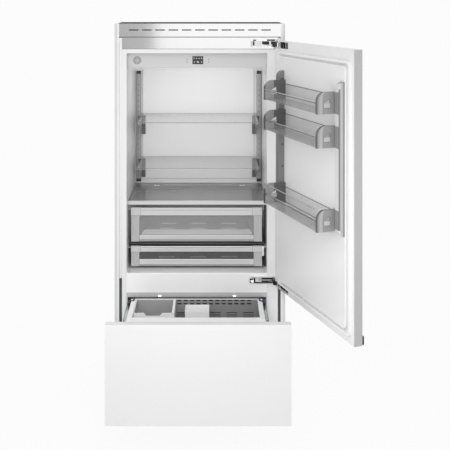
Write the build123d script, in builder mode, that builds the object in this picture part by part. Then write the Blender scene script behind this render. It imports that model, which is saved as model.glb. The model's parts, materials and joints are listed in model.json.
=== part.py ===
"""Built-in refrigerator with a swinging upper door and a pull-out freezer drawer below.

Frame: X runs to the right along the front, Y to the back, Z up, in millimetres. The origin
is on the floor, under the middle of the cabinet's front plane. The part is stored as it is
shown in use: the door stands open and the freezer drawer is pulled out.
"""
from build123d import *
from math import atan2, degrees
import os

os.makedirs("parts", exist_ok=True)

# ---- Driving dimensions: cabinet -------------------------------------------------------
WIDTH = 914.0               # across the outer edges of the side trims
HEIGHT = 2030.0
DEPTH = 610.0               # cabinet alone, without door and drawer fronts
BASE_HEIGHT = 175.0         # machine compartment under the insulated body
TRIM_WIDTH = 24.0
TRIM_DEPTH = 30.0
TRIM_STEP = 14.0            # outer part of a trim's face, set back a little
GROOVE = 16.0               # shadow groove between trim and front frame
CASE_SIDE_GAP = 11.0        # each trim stands past the case by this much
SHEET = 1.2                 # steel of the case and of the fronts
FRAME_THICK = 10.0
FRAME_RETURN = 2.0
LINER = 2.5                 # plastic of the inner liners
FIT = 0.3                   # clearance between pieces that slide or are placed loosely
EDGE = 4.0                  # small rounding of moulded edges

# ---- Driving dimensions: compartments --------------------------------------------------
LEFT_WALL = 64.0            # from the cabinet's side to the compartments
RIGHT_WALL = 97.0           # wider, because the hinges fold beside the compartments
BACK_WALL = 58.0
FREEZER_BACK_WALL = 61.0
CAVITY_CORNER = 10.0
FREEZER_FLOOR = 232.0
FREEZER_TOP = 587.0
MULLION = 106.0             # divider between freezer and fridge
TOP_LIP = 21.0              # front frame above the fridge compartment
HEADER_HEIGHT = 63.0
HEADER_GAP = 4.0            # shadow line between header panel and grille
GRILLE_HEIGHT = 70.0
COVER_DEPTH = 300.0
COVER_HEIGHT = 18.0
SLOT_COUNT = 11
SLOT_LENGTH = 53.0
SLOT_WIDTH = 6.0
SLOT_PITCH = 71.0
SLOT_RISE = 36.0            # of the slots' middle line above the grille's lower edge

# ---- Driving dimensions: fridge fittings -----------------------------------------------
FASCIA_FRONT = 60.0
FASCIA_HEIGHT = 83.0
FASCIA_DEPTH = 110.0
FASCIA_WALL = 3.0
DISPLAY_WIDTH = 59.0
DISPLAY_HEIGHT = 44.0
DISPLAY_X = -12.0
DISPLAY_RISE = 19.0         # above the fascia's lower edge
DISPLAY_THICK = 2.5
RAIL_DROP = 57.0            # shelf rails end this far below the fascia
RAIL_RISE = 9.0             # and start this far above the crisper cover
RAIL_WIDTH = 28.0
RAIL_DEPTH = 12.0
RAIL_INSETS = (7.0, 1.0)    # from the left and right wall
SHELF_INSETS = (36.0, 31.0)
SHELF_FRONT = 200.0
SHELF_BACK_GAP = 16.0
SHELF_GLASS = 5.0
LOWER_SHELF_RISE = 143.0    # above the foot of the shelf rails
UPPER_SHELF_DROP = 260.0    # below the top of the shelf rails
BRACKET_WIDTH = 24.0
BRACKET_DROP = 111.0
BRACKET_EAR = 40.0          # ear that hooks over the rail
BRACKET_PLATE = 3.0
COVER_RISE = 41.0           # of the crisper cover above the upper crisper's front
COVER_GLASS = 5.0
COVER_TRIM_FRONT = 66.0
COVER_TRIM_HEIGHT = 22.0
COVER_TRIM_DEPTH = 14.0
DUCT_THICK = 8.0
DUCT_INSET = 44.0
DUCT_RISE = 26.0            # above the crisper cover
DUCT_DROP = 19.0            # below the fascia

# ---- Driving dimensions: crisper drawers -----------------------------------------------
CRISPER_INSETS = (17.0, 23.0)       # from the left and right wall
CRISPER_FRONT = 90.0
CRISPER_BACK_GAP = 32.0
CRISPER_WALL = 2.5
CRISPER_CORNER = 22.0
CRISPER_BAR = 14.0          # depth of the aluminium bars on a crisper's front
CRISPER_CAP = 53.0          # width of a moulded end cap on the upper bar
CRISPER_POST = 44.0
CRISPER_TRAVEL = 330.0
CRISPER_RISES = {"upper": (146.0, 330.0), "lower": (12.0, 120.0)}  # above the fridge's floor
CRISPER_BARS = {"upper": (45.0, 35.0), "lower": (31.0, 37.0)}   # upper bar, lower bar
RUNNER_HEIGHT = 8.0
FLANGE_DROP = 6.0           # a crisper's side flange lies this far below its top

# ---- Driving dimensions: door ----------------------------------------------------------
DOOR_INSET = 21.25          # from the cabinet's side to the door's edge
DOOR_FOOT = 60.0            # door's lower edge above the freezer compartment
DOOR_HEAD = 49.5            # door's upper edge above the front frame
DOOR_THICK = 40.0
DOOR_GAP = 12.0             # between slab and cabinet face, filled by the gasket
DOOR_OPEN = 109.2           # opening angle in degrees
HINGE_PROUD = 0.25          # the turning axis stands this far outside the door's edge
HINGE_Y = -52.0
PLUG_MARGINS = (81.75, 48.75)       # from the hinge edge and the free edge to the plug
PLUG_PLAY = (14.0, 4.0)     # between plug and compartment, below and above
PLUG_CORNER = 22.0
PLUG_FACE = 20.0            # inner face of the plug above the slab
GASKET_WIDTH = 12.0
GASKET_CORNER = 22.0
GASKET_MARGINS = (57.0, 27.0)       # from the hinge edge and the free edge
GASKET_LAP = 13.5           # of the gasket over the mullion
GASKET_HEAD = 1.5           # below the top of the front frame
POCKET_LENGTH = 165.0       # hinge pockets in the slab
POCKET_DEPTH = 29.0
DOOR_RAIL_RISE = 408.0      # above the plug's foot
DOOR_RAIL_DROP = 71.0       # below the plug's top
DOOR_RAIL_WIDTH = 35.0
DOOR_RAIL_FACE = 50.0
DOOR_RAIL_MARGINS = (48.25, 2.75)   # from the plug's sides to the rails
BIN_PLAY = (5.0, 7.0)       # between the rails and a bin's ends
BIN_FRONT = 136.0
LOWER_BIN_RISE = 18.0       # above the foot of the door rails
BIN_DROPS = {"middle": 293.0, "upper": 142.0}   # below the top of the door rails
BIN_WALL = 3.0
BIN_BACK_HEIGHT = 98.0
BIN_FRONT_HEIGHT = 56.0
BIN_CAP = 12.0              # thickness of a moulded end cap
LOWER_RETAINER = 99.0       # height of the wire retainer on the lower bin
BUMPER_WIDTH = 30.0
BUMPER_THICK = 9.0
BUMPER_HEIGHT = 36.0

# ---- Driving dimensions: hinges --------------------------------------------------------
HINGE_HEIGHTS = (30.0, 34.0)        # of the lower and the upper hinge
LOWER_HINGE_RISE = 1.5      # above the door's lower edge
UPPER_HINGE_RISE = 12.0     # above the front frame
HINGE_LENGTH = 127.0        # of the cabinet leaf
HINGE_INSET = 56.0          # from the cabinet's side to the cabinet leaf
HINGE_DEPTH = 20.0
HINGE_PLATE = 2.5
LEAF_LENGTH = 150.0
LEAF_START = 4.0
LEAF_FRONT = 12.0           # the door leaf stays this far inside the slab's inner face
LINK_LENGTH = 52.0
LINK_WIDTH = 12.0
LINK_THICK = 3.0
LINK_PLAY = 0.4             # between the layers of a hinge's links
LINK_PIN = 3.0
PIN_PLAY = 0.05
PIVOT_INSET = 8.0           # of both pivots from the cabinet leaf's end
PIVOT_DEPTHS = (-11.0, -32.0)       # cabinet pivot, and door pivot with the door shut

# ---- Driving dimensions: freezer drawer ------------------------------------------------
BASKET_SHOW = 20.0          # the open basket's rear wall stands this far before the cabinet
DRAWER_BOTTOM = 170.0
DRAWER_GAP = 4.0            # between the drawer front and the door
BASKET_INSETS = (30.0, 29.0)        # from the left and right wall
BASKET_BACK_GAP = 8.0
BASKET_FRONT = 20.0
RIM_DROP = 25.0             # of the basket's rim below the compartment's top
BASKET_RISE = 54.0          # of its floor above the compartment's floor
BASKET_WALL = 3.0
RIM_WIDTH = 25.0
BRIDGE_FRONT = 208.0        # flat bridge between the rear and front compartments
BRIDGE_BACK = 268.0
OVAL_COUNT = 12
OVAL_LENGTH = 25.0
OVAL_HEIGHT = 8.0
OVAL_PITCH = 33.7
OVAL_MIDDLE = 76.5
OVAL_DROPS = (24.0, 7.0)    # below the basket's rim
VENT_DROPS = (96.0, 84.0, 72.0)
VENT_COUNT = 5
VENT_LENGTH = 58.0
VENT_HEIGHT = 5.0
VENT_PITCH = 88.0
ICE_RIGHT = -128.0
ICE_LENGTH = 203.0          # of the ice bin, front to back
ICE_WALL = 3.0
ICE_EDGE = 12.0             # flat edge on the ice bin's inner side
ICE_NOTCH = (95.0, 68.0, 15.0)      # notch in its front wall: top width, bottom width, depth
SCOOP_LEFT = -74.0
SCOOP_RIGHT = 50.0
SCOOP_GAP = 83.0            # between the scoop box and the basket's rear
SCOOP_LENGTH = 88.0
SLIDE_HEIGHT = 40.0
SLIDE_DROP = 56.0           # of the slides' lower edge below the basket's rim
LIGHT_BAR_HEIGHT = 22.0
LIGHT_BAR_DEPTH = 12.0
LAMP_PLACES = (-216.0, 186.0)

# ---- Derived sizes ---------------------------------------------------------------------
HALF_WIDTH = WIDTH / 2
CASE_HALF = HALF_WIDTH - CASE_SIDE_GAP
FRAME_HALF = HALF_WIDTH - TRIM_WIDTH - GROOVE
CASE_TOP = HEIGHT - COVER_HEIGHT
CASE_BACK = DEPTH - 2.0
GRILLE_BOTTOM = HEIGHT - GRILLE_HEIGHT
HEADER_TOP = GRILLE_BOTTOM - HEADER_GAP
FRAME_TOP = HEADER_TOP - HEADER_HEIGHT
CAVITY_LEFT = -HALF_WIDTH + LEFT_WALL
CAVITY_RIGHT = HALF_WIDTH - RIGHT_WALL
CAVITY_MIDDLE = (CAVITY_LEFT + CAVITY_RIGHT) / 2
CAVITY_WIDTH = CAVITY_RIGHT - CAVITY_LEFT
FRIDGE_FLOOR = FREEZER_TOP + MULLION
FRIDGE_TOP = FRAME_TOP - TOP_LIP
FRIDGE_BACK = DEPTH - BACK_WALL
FREEZER_BACK = DEPTH - FREEZER_BACK_WALL

CRISPER_HEIGHTS = {name: (FRIDGE_FLOOR + low, FRIDGE_FLOOR + high)
                   for name, (low, high) in CRISPER_RISES.items()}
CRISPER_LEFT = CAVITY_LEFT + CRISPER_INSETS[0]
CRISPER_RIGHT = CAVITY_RIGHT - CRISPER_INSETS[1]
CRISPER_BACK = FRIDGE_BACK - CRISPER_BACK_GAP
COVER_GLASS_TOP = CRISPER_HEIGHTS["upper"][1] + COVER_RISE
FASCIA_BOTTOM = FRIDGE_TOP - FASCIA_HEIGHT
DISPLAY_BOTTOM = FASCIA_BOTTOM + DISPLAY_RISE
RAIL_BOTTOM = COVER_GLASS_TOP + RAIL_RISE
RAIL_TOP = FASCIA_BOTTOM - RAIL_DROP
RAIL_LEFT = CAVITY_LEFT + RAIL_INSETS[0]
RAIL_RIGHT = CAVITY_RIGHT - RAIL_INSETS[1]
DUCT_BOTTOM = COVER_GLASS_TOP + DUCT_RISE
DUCT_TOP = FASCIA_BOTTOM - DUCT_DROP
SHELF_LEFT = CAVITY_LEFT + SHELF_INSETS[0]
SHELF_RIGHT = CAVITY_RIGHT - SHELF_INSETS[1]
SHELF_BACK = FRIDGE_BACK - SHELF_BACK_GAP
SHELF_TOPS = (RAIL_BOTTOM + LOWER_SHELF_RISE, RAIL_TOP - UPPER_SHELF_DROP)

DOOR_WIDTH = WIDTH - 2 * DOOR_INSET
DOOR_BOTTOM = FREEZER_TOP + DOOR_FOOT
DOOR_TOP = FRAME_TOP + DOOR_HEAD
HINGE_X = DOOR_WIDTH / 2 + HINGE_PROUD
HINGE_RIGHT = HALF_WIDTH - HINGE_INSET
HINGE_LEFT = HINGE_RIGHT - HINGE_LENGTH
HINGES = ((DOOR_BOTTOM + LOWER_HINGE_RISE, HINGE_HEIGHTS[0]),
          (FRAME_TOP + UPPER_HINGE_RISE, HINGE_HEIGHTS[1]))     # bottom and height of each
CABINET_PIVOT = (HINGE_RIGHT - PIVOT_INSET, PIVOT_DEPTHS[0])
DOOR_PIVOT = (HINGE_RIGHT - PIVOT_INSET, PIVOT_DEPTHS[1])
PLUG_HINGE_SIDE = PLUG_MARGINS[0]   # places along the door count from its hinge edge
PLUG_FREE_SIDE = DOOR_WIDTH - PLUG_MARGINS[1]
PLUG_BOTTOM = FRIDGE_FLOOR + PLUG_PLAY[0]
PLUG_TOP = FRIDGE_TOP - PLUG_PLAY[1]
GASKET_HINGE_SIDE = GASKET_MARGINS[0]
GASKET_FREE_SIDE = DOOR_WIDTH - GASKET_MARGINS[1]
GASKET_BOTTOM = FRIDGE_FLOOR - GASKET_LAP
GASKET_TOP = FRAME_TOP - GASKET_HEAD
DOOR_RAIL_BOTTOM = PLUG_BOTTOM + DOOR_RAIL_RISE
DOOR_RAIL_TOP = PLUG_TOP - DOOR_RAIL_DROP
DOOR_RAIL_PLACES = (PLUG_HINGE_SIDE + DOOR_RAIL_MARGINS[0],
                    PLUG_FREE_SIDE - DOOR_RAIL_MARGINS[1] - DOOR_RAIL_WIDTH)
BIN_START = DOOR_RAIL_PLACES[0] + DOOR_RAIL_WIDTH + BIN_PLAY[0]
BIN_END = DOOR_RAIL_PLACES[1] - BIN_PLAY[1]
BIN_BOTTOMS = {"lower": DOOR_RAIL_BOTTOM + LOWER_BIN_RISE,
               **{name: DOOR_RAIL_TOP - drop for name, drop in BIN_DROPS.items()}}

DRAWER_TOP = DOOR_BOTTOM - DRAWER_GAP
BASKET_LEFT = CAVITY_LEFT + BASKET_INSETS[0]
BASKET_RIGHT = CAVITY_RIGHT - BASKET_INSETS[1]
BASKET_REAR = FREEZER_BACK - BASKET_BACK_GAP    # with the drawer shut
BASKET_RIM = FREEZER_TOP - RIM_DROP
BASKET_FLOOR = FREEZER_FLOOR + BASKET_RISE
DRAWER_TRAVEL = BASKET_REAR + BASKET_SHOW
SLIDE_BOTTOM = BASKET_RIM - SLIDE_DROP


def block(x, y, z, mode=Mode.ADD):
    """Add a box between the low and high limits on each axis."""
    with Locations(((x[0] + x[1]) / 2, (y[0] + y[1]) / 2, (z[0] + z[1]) / 2)):
        Box(x[1] - x[0], y[1] - y[0], z[1] - z[0], mode=mode)


def upright(y):
    """A plane that faces the front at depth y; its local axes are X and Z."""
    return Plane.XZ.offset(-y)


def cavity(y, z, corner, grow=0.0, mode=Mode.ADD):
    """Add a compartment's rounded space, grown outwards by the given wall."""
    middle = (CAVITY_MIDDLE, (z[0] + z[1]) / 2)
    with BuildSketch(upright(y[0])) as opening:
        with Locations(middle):
            RectangleRounded(CAVITY_WIDTH + 2 * grow, z[1] - z[0] + 2 * grow, corner + grow)
    extrude(opening.sketch, amount=-(y[1] + grow - y[0]), mode=mode)


def save(piece, name):
    """Label a finished piece and write it as its own file."""
    piece.part.label = name
    export_step(piece.part, f"parts/{name}.step")


# ======================================================================================
# Cabinet body
# ======================================================================================
FRIDGE_HEIGHTS = (FRIDGE_FLOOR, FRIDGE_TOP)
FREEZER_HEIGHTS = (FREEZER_FLOOR, FREEZER_TOP)
EVAPORATOR_X = (-300.0, 270.0)      # pocket for the evaporator, in the divider
EVAPORATOR_Y = (150.0, FREEZER_BACK - 29.0)
EVAPORATOR_TOP = FRIDGE_FLOOR - 25.0

with BuildPart() as cabinet_case:
    block((-CASE_HALF, CASE_HALF), (TRIM_DEPTH, CASE_BACK), (BASE_HEIGHT, CASE_TOP))
    block((-CASE_HALF + SHEET, CASE_HALF - SHEET), (TRIM_DEPTH + SHEET, CASE_BACK - SHEET),
          (BASE_HEIGHT + SHEET, CASE_TOP - SHEET), Mode.SUBTRACT)
    flange = FRAME_HALF - 3.0
    block((-flange, flange), (TRIM_DEPTH, TRIM_DEPTH + SHEET),
          (BASE_HEIGHT + SHEET, FRAME_TOP), Mode.SUBTRACT)
save(cabinet_case, "cabinet_case")

with BuildPart() as insulation_foam:
    inner = CASE_HALF - SHEET
    block((-inner, inner), (TRIM_DEPTH + SHEET, CASE_BACK - SHEET),
          (BASE_HEIGHT + SHEET, CASE_TOP - SHEET))
    block((-flange, flange), (FRAME_THICK, TRIM_DEPTH + SHEET),
          (BASE_HEIGHT + SHEET, FRAME_TOP))
    cavity((FRAME_THICK, FRIDGE_BACK), FRIDGE_HEIGHTS, CAVITY_CORNER, LINER, Mode.SUBTRACT)
    cavity((FRAME_THICK, FREEZER_BACK), FREEZER_HEIGHTS, CAVITY_CORNER, LINER, Mode.SUBTRACT)
    block(EVAPORATOR_X, EVAPORATOR_Y, (FREEZER_TOP, EVAPORATOR_TOP), Mode.SUBTRACT)
save(insulation_foam, "insulation_foam")


def liner_shell(y_back, heights):
    """Add an open-fronted liner with rounded corners."""
    cavity((FRAME_THICK, y_back), heights, CAVITY_CORNER, LINER)
    cavity((FRAME_THICK, y_back), heights, CAVITY_CORNER, 0.0, Mode.SUBTRACT)


def runner(side, top):
    """Add a moulded runner on a side wall; side is -1 for the left wall, 1 for the right."""
    wall = CAVITY_LEFT if side < 0 else CAVITY_RIGHT
    lip = (CRISPER_LEFT if side < 0 else CRISPER_RIGHT) + side * 2.0
    limits = (wall, lip) if side < 0 else (lip, wall)
    block(limits, (CRISPER_FRONT + 30, FRIDGE_BACK), (top - RUNNER_HEIGHT, top))


SHELF_REST = COVER_GLASS_TOP - COVER_GLASS

with BuildPart() as fridge_liner:
    liner_shell(FRIDGE_BACK, FRIDGE_HEIGHTS)
    for heights in CRISPER_HEIGHTS.values():
        flange_bottom = heights[1] - FLANGE_DROP - CRISPER_WALL
        for side in (-1, 1):
            runner(side, flange_bottom - FIT)
    for wall, inwards in ((CAVITY_LEFT, 1), (CAVITY_RIGHT, -1)):
        ledge = sorted((wall, wall + inwards * 7.0))
        block(ledge, (COVER_TRIM_FRONT + COVER_TRIM_DEPTH, FRIDGE_BACK),
              (SHELF_REST - 6.0, SHELF_REST))
save(fridge_liner, "fridge_liner")

with BuildPart() as freezer_liner:
    liner_shell(FREEZER_BACK, FREEZER_HEIGHTS)
    block(EVAPORATOR_X, EVAPORATOR_Y, (FREEZER_TOP - 1, FREEZER_TOP + LINER + 1),
          Mode.SUBTRACT)
save(freezer_liner, "freezer_liner")

LIP_CHAMFER = 4.0
FRAME_POSTS = ((-FRAME_HALF, CAVITY_LEFT), (CAVITY_RIGHT, FRAME_HALF))
FRAME_RAILS = ((BASE_HEIGHT, FREEZER_FLOOR), (FREEZER_TOP, FRIDGE_FLOOR), (FRIDGE_TOP, FRAME_TOP))
with BuildPart() as front_frame:
    for post in FRAME_POSTS:
        block(post, (0, FRAME_THICK), (BASE_HEIGHT, FRAME_TOP))
    for edge in (-FRAME_HALF, FRAME_HALF - FRAME_RETURN):
        block((edge, edge + FRAME_RETURN), (FRAME_THICK, TRIM_DEPTH), (BASE_HEIGHT, FRAME_TOP))
    for rail in FRAME_RAILS:
        block((CAVITY_LEFT + FIT, CAVITY_RIGHT - FIT), (0, FRAME_THICK), rail)
    lip = front_frame.edges().filter_by(Axis.X).filter_by_position(Axis.Y, -0.1, 0.1)
    chamfer(lip.filter_by_position(Axis.Z, FREEZER_TOP - 1, FRIDGE_FLOOR + 1), LIP_CHAMFER)
save(front_frame, "front_frame")

with BuildPart() as side_trims:
    with BuildSketch(Plane.XY.offset(BASE_HEIGHT)):
        for side in (-1, 1):
            inner_edge = side * (HALF_WIDTH - TRIM_WIDTH)
            step = side * (HALF_WIDTH - TRIM_STEP)
            outer_edge = side * HALF_WIDTH
            with BuildLine():
                Polyline((inner_edge, 0), (step, 0), (step + side * 2, 3), (outer_edge - side * 2, 3),
                         (outer_edge, 5), (outer_edge, TRIM_DEPTH), (inner_edge, TRIM_DEPTH),
                         close=True)
            make_face()
    extrude(amount=HEIGHT - BASE_HEIGHT)
save(side_trims, "side_trims")

with BuildPart() as header_panel:
    block((-FRAME_HALF, FRAME_HALF), (0, TRIM_DEPTH), (FRAME_TOP, HEADER_TOP))
    block((-FRAME_HALF + SHEET, FRAME_HALF - SHEET), (SHEET, TRIM_DEPTH),
          (FRAME_TOP + SHEET, HEADER_TOP - SHEET), Mode.SUBTRACT)
save(header_panel, "header_panel")

GRILLE_HALF = HALF_WIDTH - TRIM_WIDTH
with BuildPart() as top_grille:
    block((-GRILLE_HALF, GRILLE_HALF), (0, TRIM_DEPTH), (GRILLE_BOTTOM, CASE_TOP))
    block((-GRILLE_HALF, GRILLE_HALF), (0, SHEET), (CASE_TOP, HEIGHT))
    block((-GRILLE_HALF + SHEET, GRILLE_HALF - SHEET), (SHEET, TRIM_DEPTH),
          (GRILLE_BOTTOM + SHEET, CASE_TOP - SHEET), Mode.SUBTRACT)
    with BuildSketch(upright(0)):
        with Locations((0, GRILLE_BOTTOM + SLOT_RISE)):
            with GridLocations(SLOT_PITCH, 1, SLOT_COUNT, 1):
                SlotOverall(SLOT_LENGTH, SLOT_WIDTH)
    extrude(amount=-SHEET, mode=Mode.SUBTRACT)
save(top_grille, "top_grille")

COVER_WALL = 2.0
with BuildPart() as top_cover:
    block((-GRILLE_HALF + 1, GRILLE_HALF - 1), (SHEET, TRIM_DEPTH), (CASE_TOP, HEIGHT))
    block((-CASE_HALF, CASE_HALF), (TRIM_DEPTH, COVER_DEPTH), (CASE_TOP, HEIGHT))
    block((-GRILLE_HALF + 1 + COVER_WALL, GRILLE_HALF - 1 - COVER_WALL),
          (SHEET + COVER_WALL, COVER_DEPTH - COVER_WALL), (CASE_TOP, HEIGHT - COVER_WALL),
          Mode.SUBTRACT)
save(top_cover, "top_cover")

# ======================================================================================
# Fittings inside the fridge compartment
# ======================================================================================
FASCIA_SIDE = 1.0           # play between the fascia and the liner's side walls
FASCIA_LIMITS = (CAVITY_LEFT + FASCIA_SIDE, CAVITY_RIGHT - FASCIA_SIDE)
with BuildPart() as control_fascia:
    with BuildSketch(Plane.YZ.offset(FASCIA_LIMITS[0])):
        with BuildLine():
            fascia_back = FASCIA_FRONT + FASCIA_DEPTH
            outline = Polyline((FASCIA_FRONT, FRIDGE_TOP - CAVITY_CORNER),
                               (FASCIA_FRONT, FASCIA_BOTTOM), (fascia_back, FASCIA_BOTTOM),
                               (fascia_back, FASCIA_BOTTOM + FASCIA_WALL),
                               (FASCIA_FRONT + FASCIA_WALL, FASCIA_BOTTOM + FASCIA_WALL),
                               (FASCIA_FRONT + FASCIA_WALL, FRIDGE_TOP - CAVITY_CORNER),
                               close=True)
        make_face()
    extrude(amount=FASCIA_LIMITS[1] - FASCIA_LIMITS[0])
    front_edge = control_fascia.edges().filter_by(Axis.X).filter_by_position(
        Axis.Y, FASCIA_FRONT - 1, FASCIA_FRONT + 1).sort_by(Axis.Z)[0]
    fillet(front_edge, FASCIA_WALL - 0.5)
    top_limits = (FASCIA_LIMITS[0] + CAVITY_CORNER, FASCIA_LIMITS[1] - CAVITY_CORNER)
    block(top_limits, (FASCIA_FRONT, FASCIA_FRONT + FASCIA_WALL),
          (FRIDGE_TOP - CAVITY_CORNER, FRIDGE_TOP - FIT))
    display_x = (DISPLAY_X - DISPLAY_WIDTH / 2, DISPLAY_X + DISPLAY_WIDTH / 2)
    display_z = (DISPLAY_BOTTOM, DISPLAY_BOTTOM + DISPLAY_HEIGHT)
    block(display_x, (FASCIA_FRONT, FASCIA_FRONT + DISPLAY_THICK - 0.5), display_z, Mode.SUBTRACT)
save(control_fascia, "control_fascia")

with BuildPart() as control_display:
    block(display_x, (FASCIA_FRONT - 0.5, FASCIA_FRONT + DISPLAY_THICK - 0.5), display_z)
    fillet(control_display.faces().sort_by(Axis.Y)[0].edges(), 0.4)
save(control_display, "control_display")

LAMP_LENGTH = 420.0
LAMP_DEPTH = 18.0
LAMP_THICK = 4.0
with BuildPart() as fridge_lamp:
    lamp_front = FASCIA_FRONT + 60.0
    block((CAVITY_MIDDLE - LAMP_LENGTH / 2, CAVITY_MIDDLE + LAMP_LENGTH / 2),
          (lamp_front, lamp_front + LAMP_DEPTH), (FASCIA_BOTTOM - LAMP_THICK, FASCIA_BOTTOM))
    fillet(fridge_lamp.faces().sort_by(Axis.Z)[0].edges(), 1.5)
save(fridge_lamp, "fridge_lamp")

RAIL_LIP = 5.0
RAIL_NOTCH = (5.0, 12.0)    # width and height of a hook notch
RAIL_PITCH = 32.0
RAIL_CAP = 18.0


def ladder_rail(x):
    """Add an upright shelf rail: a channel with a row of hook notches and closed ends."""
    front = FRIDGE_BACK - RAIL_DEPTH
    block((x, x + RAIL_WIDTH), (front, FRIDGE_BACK), (RAIL_BOTTOM, RAIL_TOP))
    block((x + RAIL_LIP, x + RAIL_WIDTH - RAIL_LIP), (front + 3, FRIDGE_BACK),
          (RAIL_BOTTOM + RAIL_CAP, RAIL_TOP - RAIL_CAP), Mode.SUBTRACT)
    notches = int((RAIL_TOP - RAIL_BOTTOM - 3 * RAIL_CAP) / RAIL_PITCH)
    for number in range(notches):
        bottom = RAIL_BOTTOM + 1.5 * RAIL_CAP + number * RAIL_PITCH
        middle = x + RAIL_WIDTH / 2
        block((middle - RAIL_NOTCH[0] / 2, middle + RAIL_NOTCH[0] / 2), (front - 1, front + 3),
              (bottom, bottom + RAIL_NOTCH[1]), Mode.SUBTRACT)


with BuildPart() as shelf_rails:
    ladder_rail(RAIL_LEFT)
    ladder_rail(RAIL_RIGHT - RAIL_WIDTH)
save(shelf_rails, "shelf_rails")

BRACKET_NOSE = 14.0         # height of a bracket at its front end
BRACKET_REACH = 300.0
BRACKET_BACK = FRIDGE_BACK - RAIL_DEPTH
ARM_PLACES = (SHELF_LEFT + 2.0, SHELF_RIGHT - 2.0 - BRACKET_PLATE)


def shelf_bracket(side, glass_bottom):
    """Add a cantilever bracket that hangs on a rail: an end plate and a tapering arm."""
    arm = ARM_PLACES[0] if side < 0 else ARM_PLACES[1]
    plate = (arm, arm + BRACKET_WIDTH) if side < 0 else (
        arm + BRACKET_PLATE - BRACKET_WIDTH, arm + BRACKET_PLATE)
    block(plate, (BRACKET_BACK - BRACKET_PLATE, BRACKET_BACK),
          (glass_bottom - BRACKET_DROP, glass_bottom))
    rail_middle = RAIL_LEFT + RAIL_WIDTH / 2 if side < 0 else RAIL_RIGHT - RAIL_WIDTH / 2
    ear = sorted((rail_middle, plate[0] if side < 0 else plate[1]))
    block(ear, (BRACKET_BACK - BRACKET_PLATE, BRACKET_BACK),
          (glass_bottom - BRACKET_EAR, glass_bottom - BRACKET_PLATE))
    with BuildSketch(Plane.YZ.offset(arm)) as arm_shape:
        with BuildLine():
            heel = (BRACKET_BACK, glass_bottom - BRACKET_DROP)
            toe = (BRACKET_BACK - BRACKET_REACH, glass_bottom - BRACKET_NOSE)
            Line((BRACKET_BACK, glass_bottom), heel)
            Spline(heel, (BRACKET_BACK - BRACKET_REACH * 0.35, glass_bottom - BRACKET_DROP * 0.5), toe)
            Polyline(toe, (toe[0], glass_bottom), (BRACKET_BACK, glass_bottom))
        make_face()
    extrude(arm_shape.sketch, amount=BRACKET_PLATE)


with BuildPart() as shelf_brackets:
    for shelf_top in SHELF_TOPS:
        for side in (-1, 1):
            shelf_bracket(side, shelf_top - SHELF_GLASS)
save(shelf_brackets, "shelf_brackets")

SHELF_NAMES = ("lower_shelf", "upper_shelf")
SHELF_LIP = 9.0             # height of the trim along a shelf's front edge
for shelf_name, shelf_top in zip(SHELF_NAMES, SHELF_TOPS):
    with BuildPart() as shelf:
        block((SHELF_LEFT, SHELF_RIGHT), (SHELF_FRONT, SHELF_BACK),
              (shelf_top - SHELF_GLASS, shelf_top))
        block((SHELF_LEFT, SHELF_RIGHT), (SHELF_FRONT - 4, SHELF_FRONT),
              (shelf_top - SHELF_LIP, shelf_top + 1))
        block((SHELF_LEFT, SHELF_RIGHT), (SHELF_BACK - 8, SHELF_BACK),
              (shelf_top, shelf_top + 6))
        corners = shelf.edges().filter_by(Axis.Z).filter_by_position(
            Axis.Y, SHELF_FRONT - 5, SHELF_FRONT - 3)
        fillet(corners, EDGE - 0.5)
    save(shelf, shelf_name)

TRIM_BACK = COVER_TRIM_FRONT + COVER_TRIM_DEPTH
TRIM_LIP = 1.5
with BuildPart() as crisper_cover_glass:
    block((CAVITY_LEFT + 1, CAVITY_RIGHT - 1), (TRIM_BACK - 8, FRIDGE_BACK - 1),
          (COVER_GLASS_TOP - COVER_GLASS, COVER_GLASS_TOP))
save(crisper_cover_glass, "crisper_cover_glass")

with BuildPart() as crisper_cover_trim:
    block((CAVITY_LEFT + 1, CAVITY_RIGHT - 1), (COVER_TRIM_FRONT, TRIM_BACK),
          (COVER_GLASS_TOP + TRIM_LIP - COVER_TRIM_HEIGHT, COVER_GLASS_TOP + TRIM_LIP))
    block((CAVITY_LEFT + 1, CAVITY_RIGHT - 1), (TRIM_BACK - 8, TRIM_BACK),
          (COVER_GLASS_TOP - COVER_GLASS, COVER_GLASS_TOP), Mode.SUBTRACT)
    block((CAVITY_LEFT + 1, CAVITY_RIGHT - 1), (COVER_TRIM_FRONT + 3, TRIM_BACK),
          (COVER_GLASS_TOP + TRIM_LIP - COVER_TRIM_HEIGHT, SHELF_REST - 2), Mode.SUBTRACT)
    nose = crisper_cover_trim.edges().filter_by(Axis.X).filter_by_position(
        Axis.Y, COVER_TRIM_FRONT - 0.5, COVER_TRIM_FRONT + 0.5)
    fillet(nose, 1.2)
save(crisper_cover_trim, "crisper_cover_trim")

DUCT_SLOT_DROP = 30.0
DUCT_SLOT_PITCH = 90.0
DUCT_SLOT_COUNT = 6
DUCT_SLOT_LENGTH = 60.0
DUCT_SLOT_WIDTH = 7.0
with BuildPart() as air_duct_panel:
    duct_front = FRIDGE_BACK - DUCT_THICK
    with BuildSketch(upright(duct_front)):
        with Locations((CAVITY_MIDDLE, (DUCT_BOTTOM + DUCT_TOP) / 2)):
            RectangleRounded(CAVITY_WIDTH - 2 * DUCT_INSET, DUCT_TOP - DUCT_BOTTOM, 20)
    extrude(amount=-DUCT_THICK)
    front_face = air_duct_panel.faces().sort_by(Axis.Y)[0]
    fillet(front_face.edges(), EDGE)
    with BuildSketch(upright(duct_front)):
        with Locations((CAVITY_MIDDLE, DUCT_TOP - DUCT_SLOT_DROP)):
            with GridLocations(DUCT_SLOT_PITCH, 1, DUCT_SLOT_COUNT, 1):
                SlotOverall(DUCT_SLOT_LENGTH, DUCT_SLOT_WIDTH)
    extrude(amount=-DUCT_THICK + 2, mode=Mode.SUBTRACT)
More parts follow.
